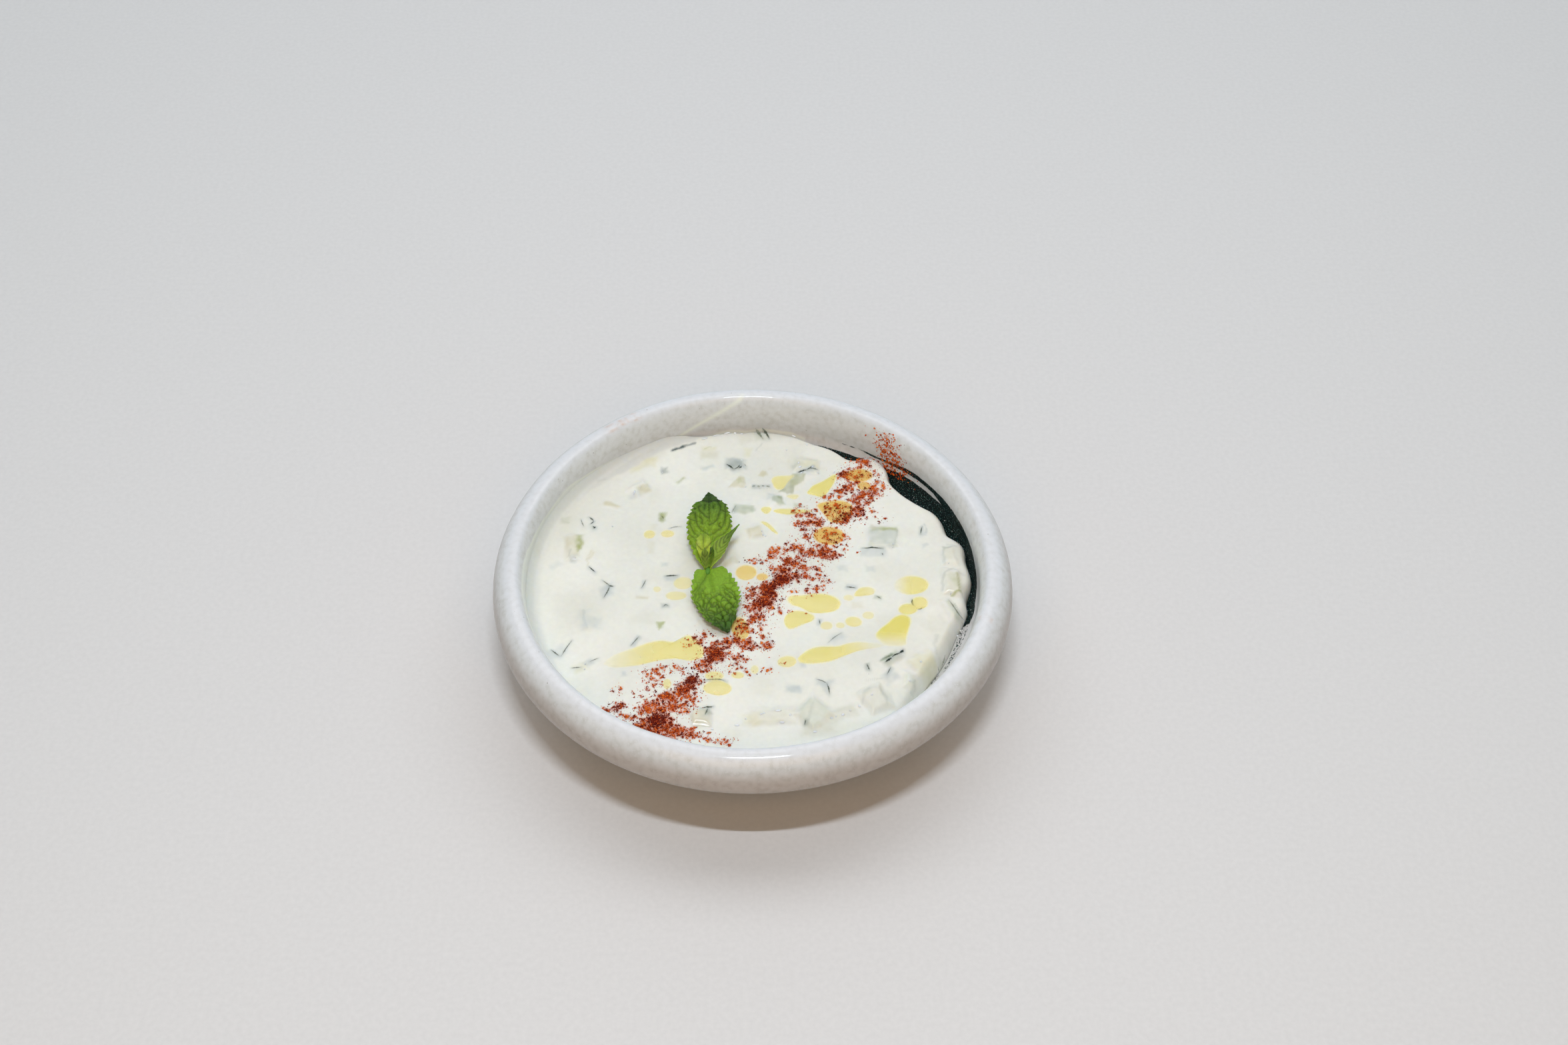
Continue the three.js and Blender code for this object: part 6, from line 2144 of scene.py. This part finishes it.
    @staticmethod
    def _colour(
        leaf: Leaf, share: Array, side: Array, groove: Array, rib: Array, bulge: Array
    ) -> Array:
        """Colour a leaf.

        The tone runs from the base's to the tip's, the midrib is paler near the base and the thin
        margin is paler on most leaves. Light and shade are painted in: the bulges lighter, and the
        grooves, the sunken midrib towards the tip and the tip beyond the fold share, with a line
        there, darker, as the shade of a folded-over tip; one leaflet's margin is darkened as its
        shadow.

        Returns:
            A linear colour per point.
        """
        tone = blend(rgb(leaf.low_tone), rgb(leaf.high_tone), smooth(leaf.darkening, 1, share))
        # Painted light and shade: lighter on the bulges, darker in the grooves and along the midrib
        # towards the tip.
        tone = tone * (0.86 + 0.2 * np.clip(bulge, 0, 1.3))[..., None]
        tone = tone * (1 - (0.26 + 0.26 * smooth(0.25, 0.55, share)) * groove)[..., None]
        tone = blend(tone, tone * 0.55, 0.8 * rib * smooth(0.45, 0.65, share))
        tone = blend(tone, tone * 1.25, 0.6 * rib * smooth(0.6, 0.4, share))
        # Painted shade of the folded-over tip, and a dark painted line at the fold.
        tone = tone * (1 - 0.5 * smooth(leaf.fold - 0.02, leaf.fold + 0.01, share))[..., None]
        crease = np.exp(-(((share - leaf.fold) / 0.012) ** 2)) * (leaf.fold < 1)
        tone = tone * (1 - 0.6 * crease)[..., None]
        tone = blend(tone, tone * leaf.margin, smooth(0.93, 1, np.abs(side)) * 0.8)
        return tone.reshape(-1, 3)

    def _stem(self) -> Surface:
        """Build the end of the stem, a short leaning rod with rounded ends."""
        turn = np.linspace(0, math.pi, 15)[1:-1]
        around = np.linspace(0, 2 * math.pi, 25)[:-1]
        middle = np.array([-13.9, 4.6, self.dip.level + 1.7])
        radius = 0.95 * np.sin(turn)[:, None] ** 0.6
        y = -2.1 * np.cos(turn)[:, None] + 0 * around
        ring = np.stack([radius * np.cos(around), y, radius * np.sin(around)], -1)
        points = np.vstack([ring.reshape(-1, 3), [[0, -2.2, 0]], [[0, 2.2, 0]]]) + middle
        tint = np.tile(rgb(self.stem_tone), (len(points), 1))
        return Surface(points, tube_faces(*ring.shape[:2]), {"tint": tint})

    def build(self, mint: bpy.types.Material) -> None:
        """Make the sprig as one piece."""
        surface = Surface.joined([*(self._leaf(leaf) for leaf in self.leaves), self._stem()])
        make_piece("mint_leaves", surface, mint, ("mint_sprig",))


# ------------------------------------------------------------------ the studio


@dataclass
class Studio:
    """A pale table before a pale wall, soft light from above and the camera."""

    table_tone: str = "#D6D4D3"
    wall_tone: str = "#EFF1F6"
    speck_size: float = 1.6  # mm across a speck of the boards
    wall_at: float = 1000.0  # mm behind the bowl's middle
    camera_at: Place = (9.79, -445.5, 533.3)
    camera_tilt: float = 42.933  # degrees up from straight down
    focal: float = 50.0
    # Lamps: name, place, what it is aimed at, size, power in W, and tone.
    lamps: tuple[tuple[str, Place, Place, tuple[float, float], float, str], ...] = (
        ("window", (0, 430, 900), (0, 430, 0), (1720, 544), 5.6, "#FAFBFF"),
        ("warm_room", (0, -850, 850), (0, 0, 0), (1300, 700), 4.44, "#FFC279"),
        *(
            (f"led_{i}", (34 * i - 85, -265, 900), (34 * i - 85, -265, 0), (15, 18), 0.67,
             "#EDF6FF")
            for i in range(6)
        ),
    )

    def _plate(self, name: str, corners: list[Place], tone: str) -> None:
        """Make one flat stage plate of a matt, faintly speckled board."""
        mesh = bpy.data.meshes.new(name)
        mesh.from_pydata([tuple(MM * v for v in corner) for corner in corners], [], [(0, 1, 2, 3)])
        material, tree, shader = start_grained(
            name + "_board", self.speck_size, 3.0, (0.97, 1.02), tone=tone
        )
        fill(tree, shader, {"Roughness": 0.6})
        mesh.materials.append(material)
        plate = bpy.data.objects.new(name, mesh)
        bpy.context.scene.collection.objects.link(plate)

    @staticmethod
    def _lamp(
        name: str, at: Place, aim: Place, size: tuple[float, float], power: float, tone: str
    ) -> None:
        """Hang one rectangular lamp, in mm, aimed at a place."""
        data = bpy.data.lights.new(name, "AREA")
        data.shape = "RECTANGLE"
        data.size, data.size_y = size[0] * MM, size[1] * MM
        data.energy = power
        data.color = linear(tone)[:3]
        lamp = bpy.data.objects.new(name, data)
        away = np.array(at) - np.array(aim)
        lamp.location = tuple(MM * v for v in at)
        flat = math.hypot(away[0], away[1])
        heading = math.atan2(away[0], -away[1]) if flat else 0
        lamp.rotation_euler = (math.atan2(flat, away[2]), 0, heading)
        bpy.context.scene.collection.objects.link(lamp)

    @staticmethod
    def _sky() -> bpy.types.World:
        """Make the room's light, cool at the horizon and dim overhead."""
        world = bpy.data.worlds.new("room")
        world.use_nodes = True
        tree = world.node_tree
        place = add_node(tree, "ShaderNodeTexCoord").outputs["Generated"]
        split = add_node(tree, "ShaderNodeSeparateXYZ", {}, {"Vector": place})
        share = add_node(
            tree, "ShaderNodeMapRange", {"interpolation_type": "SMOOTHSTEP"},
            {"Value": split.outputs["Z"], "From Min": -0.05, "From Max": 0.7},
        )
        colour = add_node(
            tree, "ShaderNodeMix", {"data_type": "RGBA"},
            {"Factor": share.outputs["Result"], "A": (0.72, 1.1, 1.22, 1.0),
             "B": (0.05, 0.07, 0.08, 1.0)},
        )
        fill(tree, tree.nodes["Background"], {"Color": colour.outputs["Result"], "Strength": 0.8})
        return world

    def build(self) -> None:
        """Set up the stage, the lights and the camera."""
        far, high, back = 4000.0, 2600.0, self.wall_at
        self._plate(
            "table", [(-far, -far, 0), (far, -far, 0), (far, back, 0), (-far, back, 0)],
            self.table_tone,
        )
        self._plate(
            "backdrop", [(-far, back, 0), (far, back, 0), (far, back, high), (-far, back, high)],
            self.wall_tone,
        )
        for lamp in self.lamps:
            self._lamp(*lamp)
        scene = bpy.context.scene
        scene.world = self._sky()
        scene.view_settings.view_transform = "Standard"
        data = bpy.data.cameras.new("camera")
        data.lens, data.sensor_width = self.focal, 36.0
        data.clip_start, data.clip_end = 0.01, 20.0
        camera = bpy.data.objects.new("camera", data)
        camera.location = tuple(MM * v for v in self.camera_at)
        camera.rotation_euler = (math.radians(self.camera_tilt), 0.0, 0.0)
        scene.collection.objects.link(camera)
        scene.camera = camera


def main() -> None:
    """Build the dip in its bowl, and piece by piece."""
    logging.basicConfig(level=logging.INFO, format="%(message)s")
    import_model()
    Studio().build()
    bowl = Bowl()
    dip = Dip(bowl)
    oil = OliveOil(dip)
    paprika = Paprika(dip, oil)
    mint = MintSprig(dip)
    bowl.build(SpeckledGlaze().material())
    yoghurt = StrainedYoghurt().material()
    skins = CucumberSkins(dip)
    dip.build(yoghurt, skins, oil, paprika)
    PaintedGlints(dip).build(yoghurt)
    skins.build(CucumberFlesh().material())
    oil.build(OliveOilFinish().material())
    mint.build(FreshMint().material())
    paprika.build(GroundPaprika().material(), mint)


if __name__ == "__main__":
    main()
